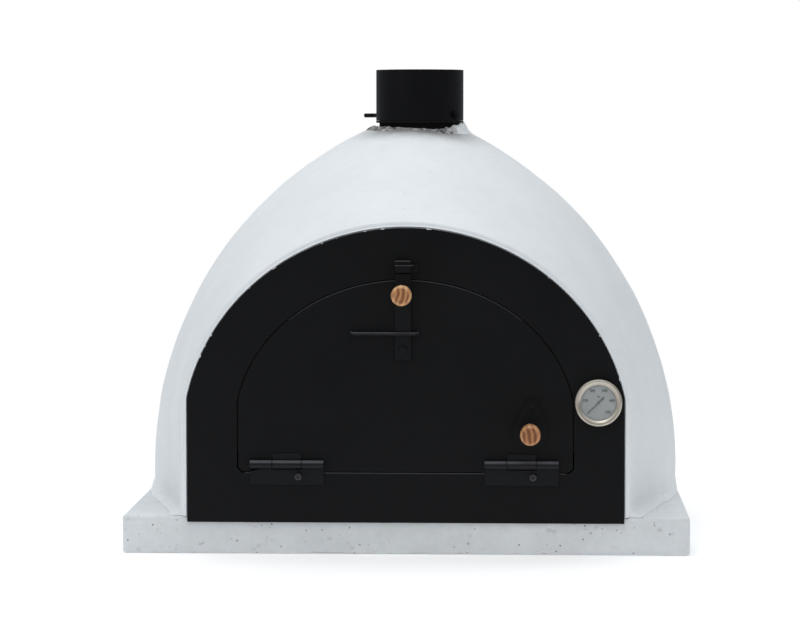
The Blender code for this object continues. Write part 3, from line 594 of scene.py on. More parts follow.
# ---- render shell ----------------------------------------------------------
def dome_profile(depth, rings):
    arc_r = DOME_ARC_R - depth
    apex = math.acos(-DOME_ARC_CENTRE_R / arc_r)
    for ring in range(rings + 1):
        angle = apex * (1 - ring / rings)
        radius = DOME_ARC_CENTRE_R + arc_r * math.cos(angle)
        yield max(radius, 0.0), DOME_ARC_CENTRE_Z + arc_r * math.sin(angle)
    yield DOME_ARC_CENTRE_R + arc_r, FOOT_Z - 0.03


def oven_hull(depth, front, segments=200, rings=44):
    """Search tree of the dome drawn forward to the front arch."""
    bm = bmesh.new()
    for radius, z in dome_profile(depth, rings):
        for k in range(segments if radius > 0 else 1):
            angle = 2 * math.pi * k / segments
            bm.verts.new((radius * math.cos(angle), radius * math.sin(angle), z))
    for x, z in arch(PLATE_ARCH, SHELL_MARGIN - depth, foot=FOOT_Z - 0.03):
        bm.verts.new((x, front, z))
    hull = bmesh.ops.convex_hull(bm, input=bm.verts)
    inner = [v for v in hull["geom_interior"] if isinstance(v, bmesh.types.BMVert)]
    bmesh.ops.delete(bm, geom=inner, context="VERTS")
    bmesh.ops.triangulate(bm, faces=bm.faces)
    tree = BVHTree.FromBMesh(bm)
    bm.free()
    return tree


def shell_rows(tree, columns, straight, round_rows):
    """Rows of points over the hull, from the front edge back to the pole at the rear foot."""
    spread = [math.pi * k / (columns - 1) for k in range(columns)]
    start = Vector((0, 0, FOOT_Z))
    starts = [(Vector((0, y, FOOT_Z)), 0.0) for y in straight]
    starts += [(start, math.pi / 2 * step / round_rows) for step in range(1, round_rows)]
    rows = []
    for origin, tilt in starts:
        out, back = math.cos(tilt), math.sin(tilt)
        fan = [Vector((out * math.cos(a), back, out * math.sin(a))) for a in spread]
        rows.append([ray_out(tree, origin, direction) for direction in fan])
    rows = np.array(rows)
    for _ in range(3):
        around = rows[:-2, 1:-1] + rows[2:, 1:-1] + rows[1:-1, :-2] + rows[1:-1, 2:]
        rows[1:-1, 1:-1] = rows[1:-1, 1:-1] * 0.5 + around * 0.125
    return rows, np.array(ray_out(tree, start, Y_AXIS))


def ray_out(tree, origin, direction):
    return tuple(tree.ray_cast(origin, direction)[0])


def inward(edge):
    """Unit normals of the front outline, pointing to its inside, in X and Z."""
    run = np.gradient(edge, axis=0)
    normal = np.stack([-run[:, 2], np.zeros(len(run)), run[:, 0]], axis=1)
    normal /= np.linalg.norm(normal, axis=1)[:, None]
    middle = np.array([0.0, FRONT_Y, 0.25])
    flip = np.sign(np.sum((middle - edge) * normal, axis=1))
    normal *= flip[:, None]
    normal[0] = (-1, 0, 0)
    normal[-1] = (1, 0, 0)
    return normal


def render_shell():
    """The shell between its outer and inner hulls, closed by a rounded lip round the face plate."""
    columns = 220
    first = FRONT_Y + LIP_R
    straight = [first - first * (k / 74) ** 1.12 for k in range(75)]
    outer, outer_pole = shell_rows(oven_hull(0.0, FRONT_Y), columns, straight, 104)
    inner_first = FRONT_Y + 0.002
    straight = [inner_first - inner_first * k / 14 for k in range(15)]
    inner, inner_pole = shell_rows(oven_hull(SHELL_THICK, FRONT_Y, 96, 24), columns, straight, 14)
    lip = shell_lip(outer[0].copy())

    rows = list(inner[::-1]) + lip[::-1] + list(outer)
    moving = [0.0] * (len(inner) + 3) + [0.3] * (len(lip) - 3) + [1.0] * len(outer)
    bm = bmesh.new()
    layer = bm.verts.layers.float.new("moves")
    grid = [add_row(bm, layer, row, share) for row, share in zip(rows, moving)]
    inner_end, outer_end = bm.verts.new(inner_pole), bm.verts.new(outer_pole)
    for a, b in zip(grid, grid[1:]):
        for k in range(columns - 1):
            bm.faces.new((a[k], a[k + 1], b[k + 1], b[k]))
    for line, end in ((grid[0], inner_end), (grid[-1], outer_end)):
        for k in range(columns - 1):
            bm.faces.new((line[k], line[k + 1], end))
    right, left = [line[0] for line in grid], [line[-1] for line in reversed(grid)]
    bm.faces.new(right + [outer_end] + left + [inner_end])
    bmesh.ops.recalc_face_normals(bm, faces=bm.faces)
    shape_shell(bm, layer)
    obj = place_mesh("shell_render", bm, "shell", 60)
    fuse(obj, rod("flue_hole", (FLUE.x, 0, 0.6), Z_AXIS, 0.3, HOLE_R, "shell", 96), "DIFFERENCE")
    seat(obj, "oven", "render_shell")


def add_row(bm, layer, row, share):
    """A row of vertices, each marked with how far the unevenness may move it."""
    line = [bm.verts.new(point) for point in row]
    for vert in line:
        vert[layer] = share
    return line


def shell_lip(edge):
    """Rows from the outer edge round the front lip and in to the face plate, chipped here and there."""
    edge[:, 1] = FRONT_Y
    normal = inward(edge)
    back = np.array([0, 1.0, 0])
    wobble = np.array([fractal(Vector(p), 38, 3) for p in edge])[:, None]
    chips = [0.35 * max(0.0, fractal(Vector(p) + Vector((3, 1, 2)), 55, 2) - 0.22) for p in edge]
    chips = np.array(chips)[:, None]
    lip = []
    for step in range(1, 6):
        turn = math.pi / 2 * step / 5
        inset = LIP_R * (1 - math.cos(turn)) + chips * 0.006 * math.sin(turn)
        y = LIP_R * (1 - math.sin(turn)) + chips * 0.004 * math.cos(turn) + chips * 0.003
        lip.append(edge + normal * inset + back * y)
    for inset, proud in ((0.0072, 0.0004), (0.0082, 0.0012), (0.0091, 0.0022), (0.0096, 0.0030)):
        forward = proud + 0.0006 * wobble - chips * 0.002
        lip.append(edge + normal * (inset + 0.0003 * wobble) - back * forward)
    gap = 0.00985
    lip.append(edge + normal * gap - back * (0.0028 + 0.0006 * wobble))
    lip.append(edge + normal * gap + back * 0.0002)
    lip.append(edge + normal * 0.020 + back * 0.0004)
    return lip


def shape_shell(bm, layer):
    """Hand-trowelled unevenness, and a cove where the render meets the slab."""
    cove = 0.022
    limit_x, limit_y = SLAB_HIGH.x - 0.002, SLAB_HIGH.y - 0.002
    bm.normal_update()
    shifts = []
    for vert in bm.verts:
        share = vert[layer]
        if not share:
            continue
        point = vert.co
        height = point.z - FOOT_Z
        uneven = fractal(point, 7.0, 2) * 0.0011 + fractal(point, 34.0, 3) * 0.00042
        shift = vert.normal * (uneven * share * min(1.0, 0.25 + height / 0.05))
        if height < cove and share == 1.0:
            flare = cove - math.sqrt(cove ** 2 - (cove - height) ** 2)
            flare *= 0.75 + 0.35 * fractal(point, 14.0, 2)
            side = Vector((vert.normal.x, vert.normal.y, 0))
            if side.length > 1e-4:
                shift += side.normalized() * flare
        shifts.append((vert, shift))
    for vert, shift in shifts:
        spot = vert.co + shift
        spot.x = max(-limit_x, min(limit_x, spot.x))
        spot.y = min(limit_y, spot.y)
        spot.z = max(FOOT_Z, spot.z)
        vert.co = spot


# ---- slab ------------------------------------------------------------------
def base_slab():
    """Cast slab: rounded arrises, worn lower edge, air holes in its sides."""
    half = SLAB_HIGH.x
    corner = 0.009
    outline = slab_outline(half, corner)
    bm = bmesh.new()
    layer = bm.verts.layers.float.new("moves")
    grid = []
    for inset, z, share in slab_levels():
        if inset > corner:
            shrink = (half - inset) / half
            row = [(x * shrink, y * shrink, z) for (x, y), _ in outline]
        else:
            row = [(x - nx * inset, y - ny * inset, z) for (x, y), (nx, ny) in outline]
        grid.append(add_row(bm, layer, row, share))
    count = len(outline)
    for a, b in zip(grid, grid[1:]):
        for k in range(count):
            bm.faces.new((a[k], a[(k + 1) % count], b[(k + 1) % count], b[k]))
    bm.faces.new(grid[0][::-1])
    bm.faces.new(grid[-1])
    bmesh.ops.recalc_face_normals(bm, faces=bm.faces)
    wear_slab(bm, layer)
    seat(place_mesh("slab_render", bm, "slab", 60), "oven", "base_slab")


def slab_outline(half, corner, step=0.0026):
    """Points round the slab with rounded corners, each with its outward direction."""
    outline = []
    for quarter in range(4):
        turn = quarter * math.pi / 2
        rotate = np.array([[math.cos(turn), -math.sin(turn)], [math.sin(turn), math.cos(turn)]])
        for k in range(int(2 * (half - corner) / step)):
            outline.append((rotate @ (half, -half + corner + step * k), rotate @ (1.0, 0.0)))
        for k in range(6):
            angle = math.pi / 2 * k / 6
            out = np.array([math.cos(angle), math.sin(angle)])
            outline.append((rotate @ (np.array([half - corner, half - corner]) + corner * out), rotate @ out))
    return outline


def slab_levels():
    """Rows from the underside up the side and in over the top, as (inset, z, share of the wear)."""
    edge, rows = 0.0042, 22
    angles = [math.pi / 2 * k / 3 for k in range(4)]
    levels = [(0.060, 0.0, 0.0), (0.012, 0.0, 0.0)]
    levels += [(edge * (1 - math.sin(a)), edge * (1 - math.cos(a)), 0.6) for a in angles]
    levels += [(0.0, edge + (SLAB_TOP - 2 * edge) * k / rows, 1.0) for k in range(1, rows)]
    levels += [(edge * (1 - math.cos(a)), SLAB_TOP - edge * (1 - math.sin(a)), 0.6) for a in angles]
    on_top = ((0.008, 0.4), (0.014, 0.4), (0.024, 0.4), (0.045, 0.3), (0.080, 0.2), (0.130, 0.0), (0.250, 0.0))
    return levels + [(inset, SLAB_TOP, share) for inset, share in on_top]


def wear_slab(bm, layer):
    draw = random.Random(11)
    half, height = SLAB_HIGH.x, SLAB_TOP
    pits = []
    for _ in range(620):
        side, along = draw.randrange(4), draw.uniform(-half, half)
        z = height * (1 - draw.random() ** 1.6)
        size = 0.0014 + 0.0036 * draw.random() ** 4
        flat_spot = ((half, along), (-half, along), (along, half), (along, -half))[side]
        pits.append((Vector((*flat_spot, z)), size))
    tree = KDTree(len(pits))
    for index, (spot, _) in enumerate(pits):
        tree.insert(spot, index)
    tree.balance()
    bm.normal_update()
    shifts = []
    for vert in bm.verts:
        share = vert[layer]
        if not share:
            continue
        point = vert.co
        depth = -0.0004 + 0.0006 * fractal(point, 10.0, 2) + 0.00035 * fractal(point, 60.0, 3)
        for spot, index, distance in tree.find_range(point, 0.0055):
            size = pits[index][1]
            if distance < size:
                depth -= 0.85 * size * (1 - (distance / size) ** 2)
        shift = vert.normal * (depth * share)
        low = max(0.0, 1 - point.z / 0.010)
        shift.z += low * max(0.0, fractal(point, 16.0, 3) + 0.15) * 0.0042
        shifts.append((vert, shift))
    for vert, shift in shifts:
        vert.co += shift
        vert.co.z = max(0.0, min(height, vert.co.z))


# ---- plaster bits on the face plate's edge ---------------------------------
def plaster_bits():
    """Smears and crumbs of render lapping over the rim of the face plate."""
    draw = random.Random(5)
    rim = arch(PLATE_ARCH, steps=160)
    bm = bmesh.new()
    picks = [draw.uniform(3, len(rim) - 4) for _ in range(16)]
    for pick in picks:
        k = int(pick)
        x = rim[k][0] + (rim[k + 1][0] - rim[k][0]) * (pick - k)
        z = rim[k][1] + (rim[k + 1][1] - rim[k][1]) * (pick - k)
        along = math.atan2(rim[k + 1][1] - rim[k][1], rim[k + 1][0] - rim[k][0])
        crumb(bm, draw, x, z, along)
    seat(place_mesh("plaster_bits", bm, "plaster", 180), "oven")


def crumb(bm, draw, x, z, along):
    length = draw.uniform(0.0012, 0.0038)
    width = draw.uniform(0.0006, 0.0013)
    thick = draw.uniform(0.0005, 0.0011)
    made = bmesh.ops.create_icosphere(bm, subdivisions=2, radius=1.0)
    seed = Vector((draw.random() * 9, draw.random() * 9, draw.random() * 9))
    for vert in made["verts"]:
        swell = 1 + 0.45 * noise.noise(vert.co * 1.6 + seed)
        a, b = vert.co.x * length * swell, vert.co.z * width * swell
        vert.co = Vector((
            x + a * math.cos(along) - b * math.sin(along),
            PLATE_FACE + 0.0002 + vert.co.y * thick,
            z + a * math.sin(along) + b * math.cos(along),
        ))


# ---- steel front -----------------------------------------------------------
def face_plate():
    gauge = JOINTS["pointer_turn"]["pos_m"]
    outlines = [arch(PLATE_ARCH), arch(DOOR_ARCH, DOOR_GAP, chamfer=0.008), circle(gauge[0], gauge[2], 0.0045)]
    plate = flat("face_plate_steel", outlines, PLATE_FACE, PLATE_BACK, "paint")
    # The plate's rounded edges take the edge look, a painted highlight.
    seat(soften(plate, 0.0011, rim="edge"), "oven", "face_plate")


def door_panel():
    vent = middle("draught_handle")
    outlines = [arch(DOOR_ARCH, chamfer=0.007), circle(vent.x, vent.z, 0.022)]
    panel = flat("door_steel", outlines, PLATE_FACE, PLATE_BACK, "paint")
    # The door's rounded edges take the edge look, a painted highlight.
    seat(soften(panel, 0.0011, rim="edge"), "door", "door_panel")


def lit_edges():
    """Lines painted lighter as a highlight where edges would catch the light: the sill under the door and the
    crown of the door.
    """
    sill_z = DOOR_LOW.z - DOOR_GAP - 0.0004
    reach = DOOR_HIGH.x - 0.012
    start = (-reach, PLATE_FACE + 0.0008, sill_z)
    seat(rod("sill_edge", start, X_AXIS, 2 * reach, 0.0010, "edge", 20, 0.0004), "oven")
    outline = arch(DOOR_ARCH, -0.0006)
    crown = [(x, PLATE_FACE + 0.0006, z) for x, z in outline if z > DOOR_HIGH.z - 0.075]
    seat(wire("door_crown_edge", crown, 0.0008, "edge"), "door")


def hinge(side):
    """Fixed leaf with two outer barrels, the door's barrel and strap, the pin and a cap screw."""
    low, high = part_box(f"hinge_leaf_{side}")
    knuckle_low, knuckle_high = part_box(f"door_knuckle_{side}")
    axis = JOINTS["door_hinge"]["pos_m"]
    radius = axis[1] - low.y
    back, front = high.y, high.y - HINGE_THICK
    leaf = block(f"hinge_leaf_steel_{side}", (low.x, front, low.z), (high.x, back, 0.150), "hinge")
    barrels = []
    for left, right in ((low.x, knuckle_low.x - 0.0008), (knuckle_high.x + 0.0008, high.x)):
        barrels.append(tube(f"barrel_{side}_{len(barrels)}", left, right, axis, radius))
        fuse(leaf, block("tab", (left, front, 0.146), (right, back, axis[2] - 0.004), "hinge"))
    seat(soften(leaf, 0.0006), "oven", f"hinge_leaf_{side}")
    for barrel in barrels:
        seat(barrel, "oven")

    knuckle = tube(f"door_knuckle_steel_{side}", knuckle_low.x, knuckle_high.x, axis, radius)
    strap = block(f"door_strap_steel_{side}", (knuckle_low.x, front, axis[2] + 0.001),
                  (knuckle_high.x, back, knuckle_high.z), "hinge")
    seat(soften(strap, 0.0006), "door")
    seat(knuckle, "door", f"door_knuckle_{side}")

    pin_low, pin_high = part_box(f"hinge_pin_{side}")
    pin = rod(f"hinge_pin_steel_{side}", (pin_low.x, axis[1], axis[2]), X_AXIS, pin_high.x - pin_low.x, 0.004,
              "hinge", 32, 0.001)
    seat(pin, "oven", f"hinge_pin_{side}")
    cap_screw(f"hinge_cap_screw_{side}", f"hinge_screw_{side}", front, 0.0065, 0.0008, "oxide", "oven")


def tube(name, left, right, axis, radius):
    """A bored knuckle along X."""
    bore = 0.0042
    profile = fillet([(bore, 0.0), (radius, 0.0), (radius, right - left), (bore, right - left)], 0.0007, 3)
    # The barrel look paints the upward faces lighter, a painted highlight.
    return lathe(name, profile, (left, axis[1], axis[2]), X_AXIS, "barrel", 56)


def cap_screw(name, node, seat_y, radius, edge, look, body):
    """Socket head cap screw facing the front, let 0.3 mm into its seat, with a hexagonal socket."""
    tip_y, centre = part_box(node)[0].y, middle(node)
    sunk = 0.0003
    height = seat_y - tip_y - sunk
    profile = [(0.0, 0.0), (radius, 0.0), (radius, height), (0.0, height)]
    head = lathe(name, fillet(profile, edge, 4), (centre.x, seat_y - sunk, centre.z), TO_FRONT, look, 40)
    socket = hexagon(name + "_socket", centre, tip_y - 0.002, radius * 0.46, height * 0.62 + 0.002)
    fuse(head, socket, "DIFFERENCE")
    seat(soften(head, edge * 0.25), body, node)


def hexagon(name, centre, start_y, radius, depth, look="zinc", turn=0.0):
    angles = [math.pi / 3 * k + turn for k in range(6)]
    outline = [(centre.x + radius * math.cos(a), centre.z + radius * math.sin(a)) for a in angles]
    return flat(name, [outline], start_y, start_y + depth, look)


def latch():
    low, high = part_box("latch_bar")
    outline = fillet([(low.x, low.z), (high.x, low.z), (high.x, high.z), (low.x, high.z)], 0.002)
    bar = flat("latch_bar_steel", [outline], low.y, high.y, "hinge")
    seat(soften(bar, 0.0007), "latch", "latch_bar")
    tip_y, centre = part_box("latch_bolt")[0].y, middle("latch_bolt")
    head = hexagon("latch_bolt_steel", centre, tip_y, 0.0072, low.y - tip_y - 0.0002, "hinge", 0.2)
    seat(soften(head, 0.0008), "door", "latch_bolt")
    guide_rod()
    keeper(high.x)


def guide_rod():
    """Rod that guides the latch bar, bent back to the door and welded at both ends."""
    low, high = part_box("latch_guide_rod")
    radius, bend = 0.003, 0.007
    left, right = low.x + radius, high.x - radius
    y, z = low.y + radius, (low.z + high.z) / 2
    turns = [math.pi / 2 * k / 8 for k in range(9)]
    route = [(left, high.y, z)]
    route += [(left + bend * (1 - math.cos(a)), y + bend * (1 - math.sin(a)), z) for a in turns]
    route += [(right - bend * (1 - math.sin(a)), y + bend * (1 - math.cos(a)), z) for a in turns]
    route.append((right, high.y, z))
    # The barrel look paints the rod's top lighter, a painted highlight.
    seat(wire("latch_guide_steel", route, radius, "barrel"), "door", "latch_guide_rod")
    weld = [(0.0, 0.0), (0.0052, 0.0), (0.0045, 0.0009), (0.0034, 0.0021), (0.0, 0.0024)]
    for end, x in (("left", left), ("right", right)):
        bead = lathe(f"guide_weld_{end}", weld, (x, PLATE_FACE, z), TO_FRONT, "hinge", 28)
        roughen(bead, 0.0004, 400)
        seat(bead, "door")


def keeper(bar_right):
    """Grooved block over the latch bar on a foot, two lines of painted highlight along its edges, and its
    screw.
    """
    low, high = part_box("latch_keeper")
    foot_y = PLATE_FACE - 0.0035
    body = block("keeper_steel", low, (bar_right, high.y, high.z), "hinge")
    groove = block("groove", (low.x - 0.01, low.y - 0.01, high.z - 0.0085),
                   (bar_right + 0.01, low.y + 0.004, high.z - 0.0045), "hinge")
    fuse(body, groove, "DIFFERENCE")
    tab = block("keeper_tab", (bar_right - 0.002, foot_y, low.z + 0.001), (high.x, high.y, low.z + 0.015),
                "hinge")
    fuse(body, tab)
    seat(soften(body, 0.0006), "oven", "latch_keeper")
    # Painted highlights: thin rods in the edge look along two edges of the keeper.
    worn = ((high.z - 0.0008, bar_right - 0.001), (high.z - 0.0086, bar_right + 0.004))
    for number, (z, right) in enumerate(worn):
        start = (low.x, low.y + 0.0005, z)
        seat(rod(f"keeper_bead_{number}", start, X_AXIS, right - low.x, 0.0011, "edge", 16, 0.0004), "oven")
    cap_screw("keeper_cap_screw", "keeper_screw", foot_y, 0.0042, 0.0006, "hinge", "oven")


def roughen(obj, depth, scale):
    for vert in obj.data.vertices:
        vert.co += vert.normal * (noise.noise(vert.co * scale) * depth)


def handle(name, body, look):
    """Turned handle with a rounded end, on a steel ferrule."""
    low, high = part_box(name)
    centre = (low + high) / 2
    radius, length = (high.z - low.z) / 2, high.y - low.y
    tip_r, tip_length, taper = 0.0068, 0.0072, 0.0045
    profile = [(0.0, length)]
    for step in range(9):
        angle = math.pi / 2 * step / 8
        profile.append((radius - tip_r + tip_r * math.sin(angle), length - tip_length * (1 - math.cos(angle))))
    for step in range(1, 15):
        share = step / 14
        profile.append((radius - taper * share ** 2.2, (length - tip_length) * (1 - share) + 0.0012 * share))
    profile += [(radius - 0.0058, 0.0004), (radius - 0.0066, 0.0), (0.0, 0.0)]
    seat(lathe(name + "_wood", profile, (centre.x, high.y, centre.z), TO_FRONT, look, 72), body, name)
    reach = 0.0123
    profile = [(0.0, reach), (0.0105, reach), (0.0105, 0.0042), (0.0140, 0.0024), (0.0140, 0.0), (0.0, 0.0)]
    place = (centre.x, high.y + reach, centre.z)
    ferrule = lathe(name + "_ferrule_steel", fillet(profile, 0.0008, 3), place, TO_FRONT, "hinge", 56)
    seat(ferrule, body, name + "_ferrule")


def draught_cover():
    """Drop-shaped cover: a large round over the air hole, a small one at the pivot."""
    low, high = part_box("draught_cover")
    pivot = JOINTS["draught_swing"]["pos_m"]
    grip = middle("draught_handle")
    centre, top = Vector((grip.x, grip.z)), Vector((pivot[0], pivot[2]))
    big, small = (high.x - low.x) / 2, 0.011
    across = top - centre
    heading = math.atan2(across.y, across.x)
    lean = math.acos((big - small) / across.length)
    outline = []
    for hub, radius, start, sweep, steps in (
        (top, small, heading - lean, 2 * lean, 24),
        (centre, big, heading + lean, 2 * math.pi - 2 * lean, 72),
    ):
        for step in range(steps + 1):
            angle = start + sweep * step / steps
            outline.append((hub.x + radius * math.cos(angle), hub.y + radius * math.sin(angle)))
    cover = flat("draught_cover_steel", [outline], low.y, high.y, "paint")
    seat(soften(cover, 0.0006), "draught", "draught_cover")
    cap_screw("draught_cap_screw", "draught_screw", low.y, 0.0050, 0.0006, "hinge", "door")


# ---- thermometer -----------------------------------------------------------
def thermometer():
    centre = (CASE_LOW + CASE_HIGH) / 2
    radius, depth = CASE_HIGH.x - centre.x, CASE_HIGH.y - CASE_LOW.y
    # the bezel's lip, over its crown, down the can, across its back and up inside
    profile = [
        (radius - 0.0102, depth - 0.0034), (radius - 0.0062, depth - 0.0006), (radius - 0.0030, depth),
        (radius - 0.0006, depth - 0.0010), (radius, depth - 0.0060), (radius - 0.0015, depth - 0.0072),
        (radius - 0.0015, 0.0), (0.0, 0.0), (0.0, 0.0015), (radius - 0.0030, 0.0015),
        (radius - 0.0030, depth - 0.0040), (radius - 0.0102, depth - 0.0040),
    ]
    place = (centre.x, CASE_HIGH.y, centre.z)
    seat(lathe("thermometer_bezel", fillet(profile, 0.0011, 4), place, TO_FRONT, "bezel", 128), "oven",
         "thermometer_case")
    dial_low, dial_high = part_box("thermometer_dial")
    dial_r = (dial_high.x - dial_low.x) / 2
    disc("thermometer_scale_plate", "thermometer_dial", centre, 0.0022, dial_r, 0.001, "dial")
    print_dial(centre, dial_low.y, dial_r)
    disc("thermometer_glass", "thermometer_lens", centre, 0.0, dial_r, 0.0014, "glass")
    pointer(centre)


def disc(name, node, centre, bore, radius, thick, look):
    """A round plate in place of its CAD node, standing on that node's back."""
    profile = [(bore, 0.0), (radius, 0.0), (radius, thick), (bore, thick)]
    seat(lathe(name, profile, (centre.x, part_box(node)[1].y, centre.z), TO_FRONT, look, 96), "oven", node)


SWEEP_START = math.radians(225)     # angle of the zero mark, anticlockwise from +X
SWEEP = math.radians(270)
FULL_SCALE = 500


def dial_angle(value):
    return SWEEP_START - SWEEP * value / FULL_SCALE


def print_dial(centre, face_y, dial_r):
    """Scale marks and figures, printed a tenth of a millimetre proud."""
    scale_r = dial_r - 0.0062
    figure_r = scale_r - 0.0085
    bm = bmesh.new()
    for value in range(0, FULL_SCALE + 1, 10):
        major, halfway = value % 100 == 0, value % 50 == 0
        inner = scale_r - (0.0052 if major else 0.0038 if halfway else 0.0026)
        tick(bm, centre, face_y, dial_angle(value), inner, scale_r, 0.00055 if major else 0.00030)
    seat(place_mesh("dial_marks", bm, "ink"), "oven")
    for value in range(0, FULL_SCALE + 1, 100):
        angle = dial_angle(value)
        x, z = centre.x + figure_r * math.cos(angle), centre.z + figure_r * math.sin(angle)
        figure(f"dial_figure_{value}", str(value), 0.0066, x, face_y, z)
    figure("dial_unit", "°C", 0.0046, centre.x, face_y, centre.z + 0.0100)


def tick(bm, centre, face_y, angle, inner, outer, width):
    made = bmesh.ops.create_cube(bm, size=1.0)
    for vert in made["verts"]:
        along = inner + (outer - inner) * (vert.co.x + 0.5)
        side = vert.co.z * width
        vert.co = Vector((
            centre.x + along * math.cos(angle) - side * math.sin(angle),
            face_y + (vert.co.y - 0.4) * 0.0001,
            centre.z + along * math.sin(angle) + side * math.cos(angle),
        ))


def figure(name, text, size, x, y, z):
    curve = bpy.data.curves.new(name, "FONT")
    curve.body = text
    curve.size = size
    curve.align_x = curve.align_y = "CENTER"
    curve.extrude = 0.00005
    curve.offset = 0.00038
    curve.resolution_u = 3
    holder = show(name, curve)
    holder.location = (x, y - 0.00004, z)
    holder.rotation_euler = (math.pi / 2, 0, 0)
    seat(curve_to_mesh(holder, "ink"), "oven")


def pointer(centre):
    """Needle with a counterweight and a hub cap, at the zero mark."""
    face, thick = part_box("thermometer_pointer")[0].y + 0.0006, 0.0005
    ahead = Vector((math.cos(dial_angle(0)), math.sin(dial_angle(0))))
    side = Vector((-ahead.y, ahead.x))
    hub = Vector((centre.x, centre.z))
    half = [(-0.0135, 0.0013), (-0.0125, 0.0020), (-0.0060, 0.0020), (-0.0045, 0.0010), (0.0, 0.0014),
            (0.0160, 0.0012), (0.0270, 0.0004)]
    outline = [tuple(hub + ahead * a + side * b) for a, b in half]
    outline += [tuple(hub + ahead * a - side * b) for a, b in reversed(half)]
    needle = flat("pointer_needle", [outline], face, face + thick, "ink")
    profile = fillet([(0.0, 0.0), (0.0030, 0.0), (0.0030, 0.0012), (0.0, 0.0012)], 0.0004, 3)
    fuse(needle, lathe("cap", profile, (centre.x, face + thick, centre.z), TO_FRONT, "ink", 32))
    seat(needle, "pointer", "thermometer_pointer")


# ---- chimney ---------------------------------------------------------------
def chimney():
    radius, wall = (TUBE_HIGH.x - TUBE_LOW.x) / 2, 0.0025
    height = TUBE_HIGH.z - TUBE_LOW.z
    bore = radius - wall
    profile = fillet([(radius, height), (radius, 0.0), (bore, 0.0), (bore, height)], 0.0007, 3)
    steel = lathe("chimney_steel", profile, (FLUE.x, 0, TUBE_LOW.z), Z_AXIS, "chimney", 160)
    damper = JOINTS["damper_turn"]
    axis, pos = Vector(damper["axis"]).normalized(), Vector(damper["pos_m"])
    fuse(steel, rod("spindle_holes", pos - axis * 0.15, axis, 0.30, 0.0046, "chimney", 32), "DIFFERENCE")
    seat(steel, "oven", "chimney_tube")

    low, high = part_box("flue_throat")
    flange_r, outer, inner = (high.x - low.x) / 2, 0.077, 0.0745
    flange = TUBE_LOW.z - 0.0003
    under = flange - 0.004
    profile = [(outer, high.z), (outer, flange), (flange_r, flange), (flange_r, under), (outer, under),
               (outer, low.z), (inner, low.z), (inner, high.z)]
    throat = lathe("flue_throat_steel", fillet(profile, 0.0006, 2), (FLUE.x, 0, 0), Z_AXIS, "sooty", 128)
    seat(throat, "oven", "flue_throat")
    mortar_ring()


def mortar_ring():
    """Rough mortar packed round the flue, higher on the right and at the back."""
    steps, rows = 260, 26
    inner, outer = 0.0776, 0.107
    foot_z, low_top, climb = 0.728, 0.7440, 0.0126
    under_tube_r, under_tube_z = 0.0845, 0.7568
    bm = bmesh.new()
    grid = []
    for k in range(steps):
        angle = 2 * math.pi * k / steps
        out = Vector((math.cos(angle), math.sin(angle), 0))
        rise = 0.5 + 0.5 * math.cos(angle - math.radians(50))
        rise = min(1.0, max(0.0, (rise - 0.30) / 0.45))
        top = low_top + climb * rise
        column = []
        for row in range(rows):
            share = row / (rows - 1)
            r = inner + (outer - inner) * share
            spot = FLUE + out * r
            beyond = math.hypot(spot.x, spot.y) - DOME_ARC_CENTRE_R
            skin = DOME_ARC_CENTRE_Z + math.sqrt(DOME_ARC_R ** 2 - beyond ** 2)
            crest = top if r < HOLE_R else max(top, skin)
            fall = min(1.0, max(0.0, (share - 0.26) / (0.26 + 0.40 * (1 - rise))))
            z = crest + (skin + 0.0036 - 0.0060 * max(0.0, share - 0.50) / 0.50 - crest) * fall
            rough = fractal(spot + Vector((0, 0, z)), 120, 4)
            z += (0.0016 + 0.0010 * rise) * rough * (1 - fall) + 0.0026 * rough * (1 - share)
            if r < under_tube_r:
                z = min(z, under_tube_z)
            column.append(bm.verts.new((spot.x, spot.y, z)))
        foot = Vector((FLUE.x, 0, foot_z))
        column += [bm.verts.new(foot + out * outer), bm.verts.new(foot + out * inner)]
        grid.append(column)
    size = len(grid[0])
    for k in range(steps):
        a, b = grid[k], grid[(k + 1) % steps]
        for row in range(size):
            bm.faces.new((a[row], b[row], b[(row + 1) % size], a[(row + 1) % size]))
    bmesh.ops.recalc_face_normals(bm, faces=bm.faces)
    seat(place_mesh("flue_mortar_ring", bm, "mortar", 180), "oven", "mortar_collar")


# ---- pieces kept from the CAD ----------------------------------------------
def carried_over():
    looks = {
        "brick_dome": "brick", "mouth_vault": "vault", "hearth_insulation_board": "board",
        "insulation_blanket": "board", "door_insulation": "board", "door_tray": "sooty", "door_frame": "sooty",
        "thermometer_stem": "zinc", "damper_spindle": "hinge", "damper_grip": "hinge", "damper_disc": "sooty",
        "damper_nut": "hinge", "damper_screw_1": "zinc", "damper_screw_2": "zinc",
    }
    for number in range(1, 7):
        looks[f"hearth_tile_{number}"] = "tile"
    for number in range(1, 5):
        looks[f"face_anchor_{number}"] = "zinc"
    for name, look in looks.items():
        obj = frame["nodes"][name]
        obj.data.materials.clear()
        obj.data.materials.append(LOOKS[look])


# ---- stage -----------------------------------------------------------------
FLOOR_R = 2.4
FLOOR_GLOW = 0.22
SKY_LOW = 0.31
SKY_HIGH = 1.32
SKY_TINT = (0.955, 0.98, 1.0, 1)


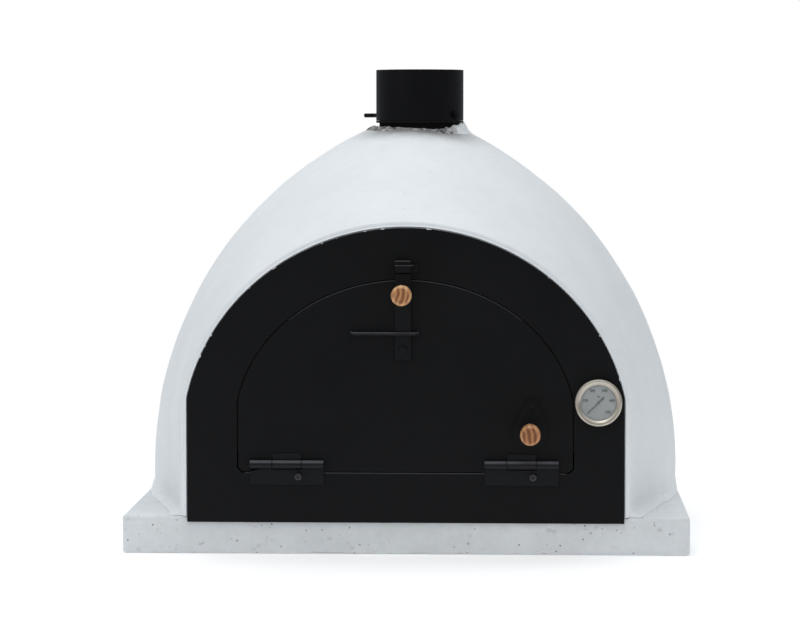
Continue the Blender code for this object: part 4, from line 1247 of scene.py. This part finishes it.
def stage():
    """A round pale floor that glows a little, so that it fades into the white behind it."""
    look = Look("pale_floor", Roughness=0.9, Specular_IOR_Level=0.1, Emission_Color=(1, 1, 1, 1),
                Emission_Strength=FLOOR_GLOW)
    tone = look.span(look.noise(3, 3), 0.3, 0.7)
    look.feed("Base Color", look.mix(tone, (0.90, 0.90, 0.90), (0.92, 0.92, 0.92)))
    bm = bmesh.new()
    bmesh.ops.create_circle(bm, cap_ends=True, segments=96, radius=FLOOR_R)
    mesh = bpy.data.meshes.new("floor")
    bm.to_mesh(mesh)
    bm.free()
    mesh.materials.append(look.material)
    floor = show("floor", mesh)
    floor.location = (0, 0, -0.0005)


def world():
    """White to the camera; to the object, a sky that brightens with the square of its height."""
    scene = bpy.context.scene
    scene.view_settings.view_transform = "Standard"
    scene.view_settings.look = "None"
    scene.world = bpy.data.worlds.new("studio")
    scene.world.use_nodes = True
    nodes = Nodes(scene.world.node_tree)
    nodes.tree.nodes.clear()
    heading = nodes.add("ShaderNodeTexCoord").outputs["Generated"]
    height = nodes.add("ShaderNodeSeparateXYZ", {"Vector": heading}).outputs["Z"]
    square = nodes.add("ShaderNodeMath", {0: height, 1: 2.0}, operation="POWER", use_clamp=True)
    inputs = {"Value": square.outputs["Value"], "To Min": SKY_LOW, "To Max": SKY_HIGH}
    ramp = nodes.add("ShaderNodeMapRange", inputs)
    sky = nodes.add("ShaderNodeBackground", {"Color": SKY_TINT, "Strength": ramp.outputs["Result"]})
    white = nodes.add("ShaderNodeBackground", {"Color": (1, 1, 1, 1), "Strength": 1.0})
    seen = nodes.add("ShaderNodeLightPath").outputs["Is Camera Ray"]
    inputs = {"Fac": seen, 1: sky.outputs["Background"], 2: white.outputs["Background"]}
    mix = nodes.add("ShaderNodeMixShader", inputs)
    nodes.add("ShaderNodeOutputWorld", {"Surface": mix.outputs["Shader"]})


def lamp(name, place, target, side, power):
    data = bpy.data.lights.new(name, "AREA")
    data.shape = "SQUARE"
    data.size = side
    data.energy = power
    obj = show(name, data)
    obj.location = place
    obj.rotation_euler = (Vector(target) - Vector(place)).to_track_quat("-Z", "Y").to_euler()


def lights():
    lamp("overhead", (-0.6, -0.8, 4.2), (0, 0, 0.3), 3.5, 45)
    lamp("left_soft", (-3.6, -3.4, 2.3), (0, -0.2, 0.4), 2.6, 10)


CAMERA_PLACE = (0.202, -5.9, 0.753)
CAMERA_YAW = math.radians(2.24)
CAMERA_PITCH = math.radians(3.50)
CAMERA_LENS = 139.2


def camera():
    data = bpy.data.cameras.new("camera")
    data.lens = CAMERA_LENS
    data.sensor_width = 36.0
    obj = show("camera", data)
    obj.location = CAMERA_PLACE
    obj.rotation_euler = (math.pi / 2 - CAMERA_PITCH, 0, CAMERA_YAW)
    bpy.context.scene.camera = obj


camera()
make_looks()
base_slab()
render_shell()
plaster_bits()
face_plate()
door_panel()
lit_edges()
hinge("left")
hinge("right")
latch()
handle("latch_handle", "latch", "wood_latch")
draught_cover()
handle("draught_handle", "draught", "wood_draught")
thermometer()
chimney()
carried_over()
stage()
world()
lights()
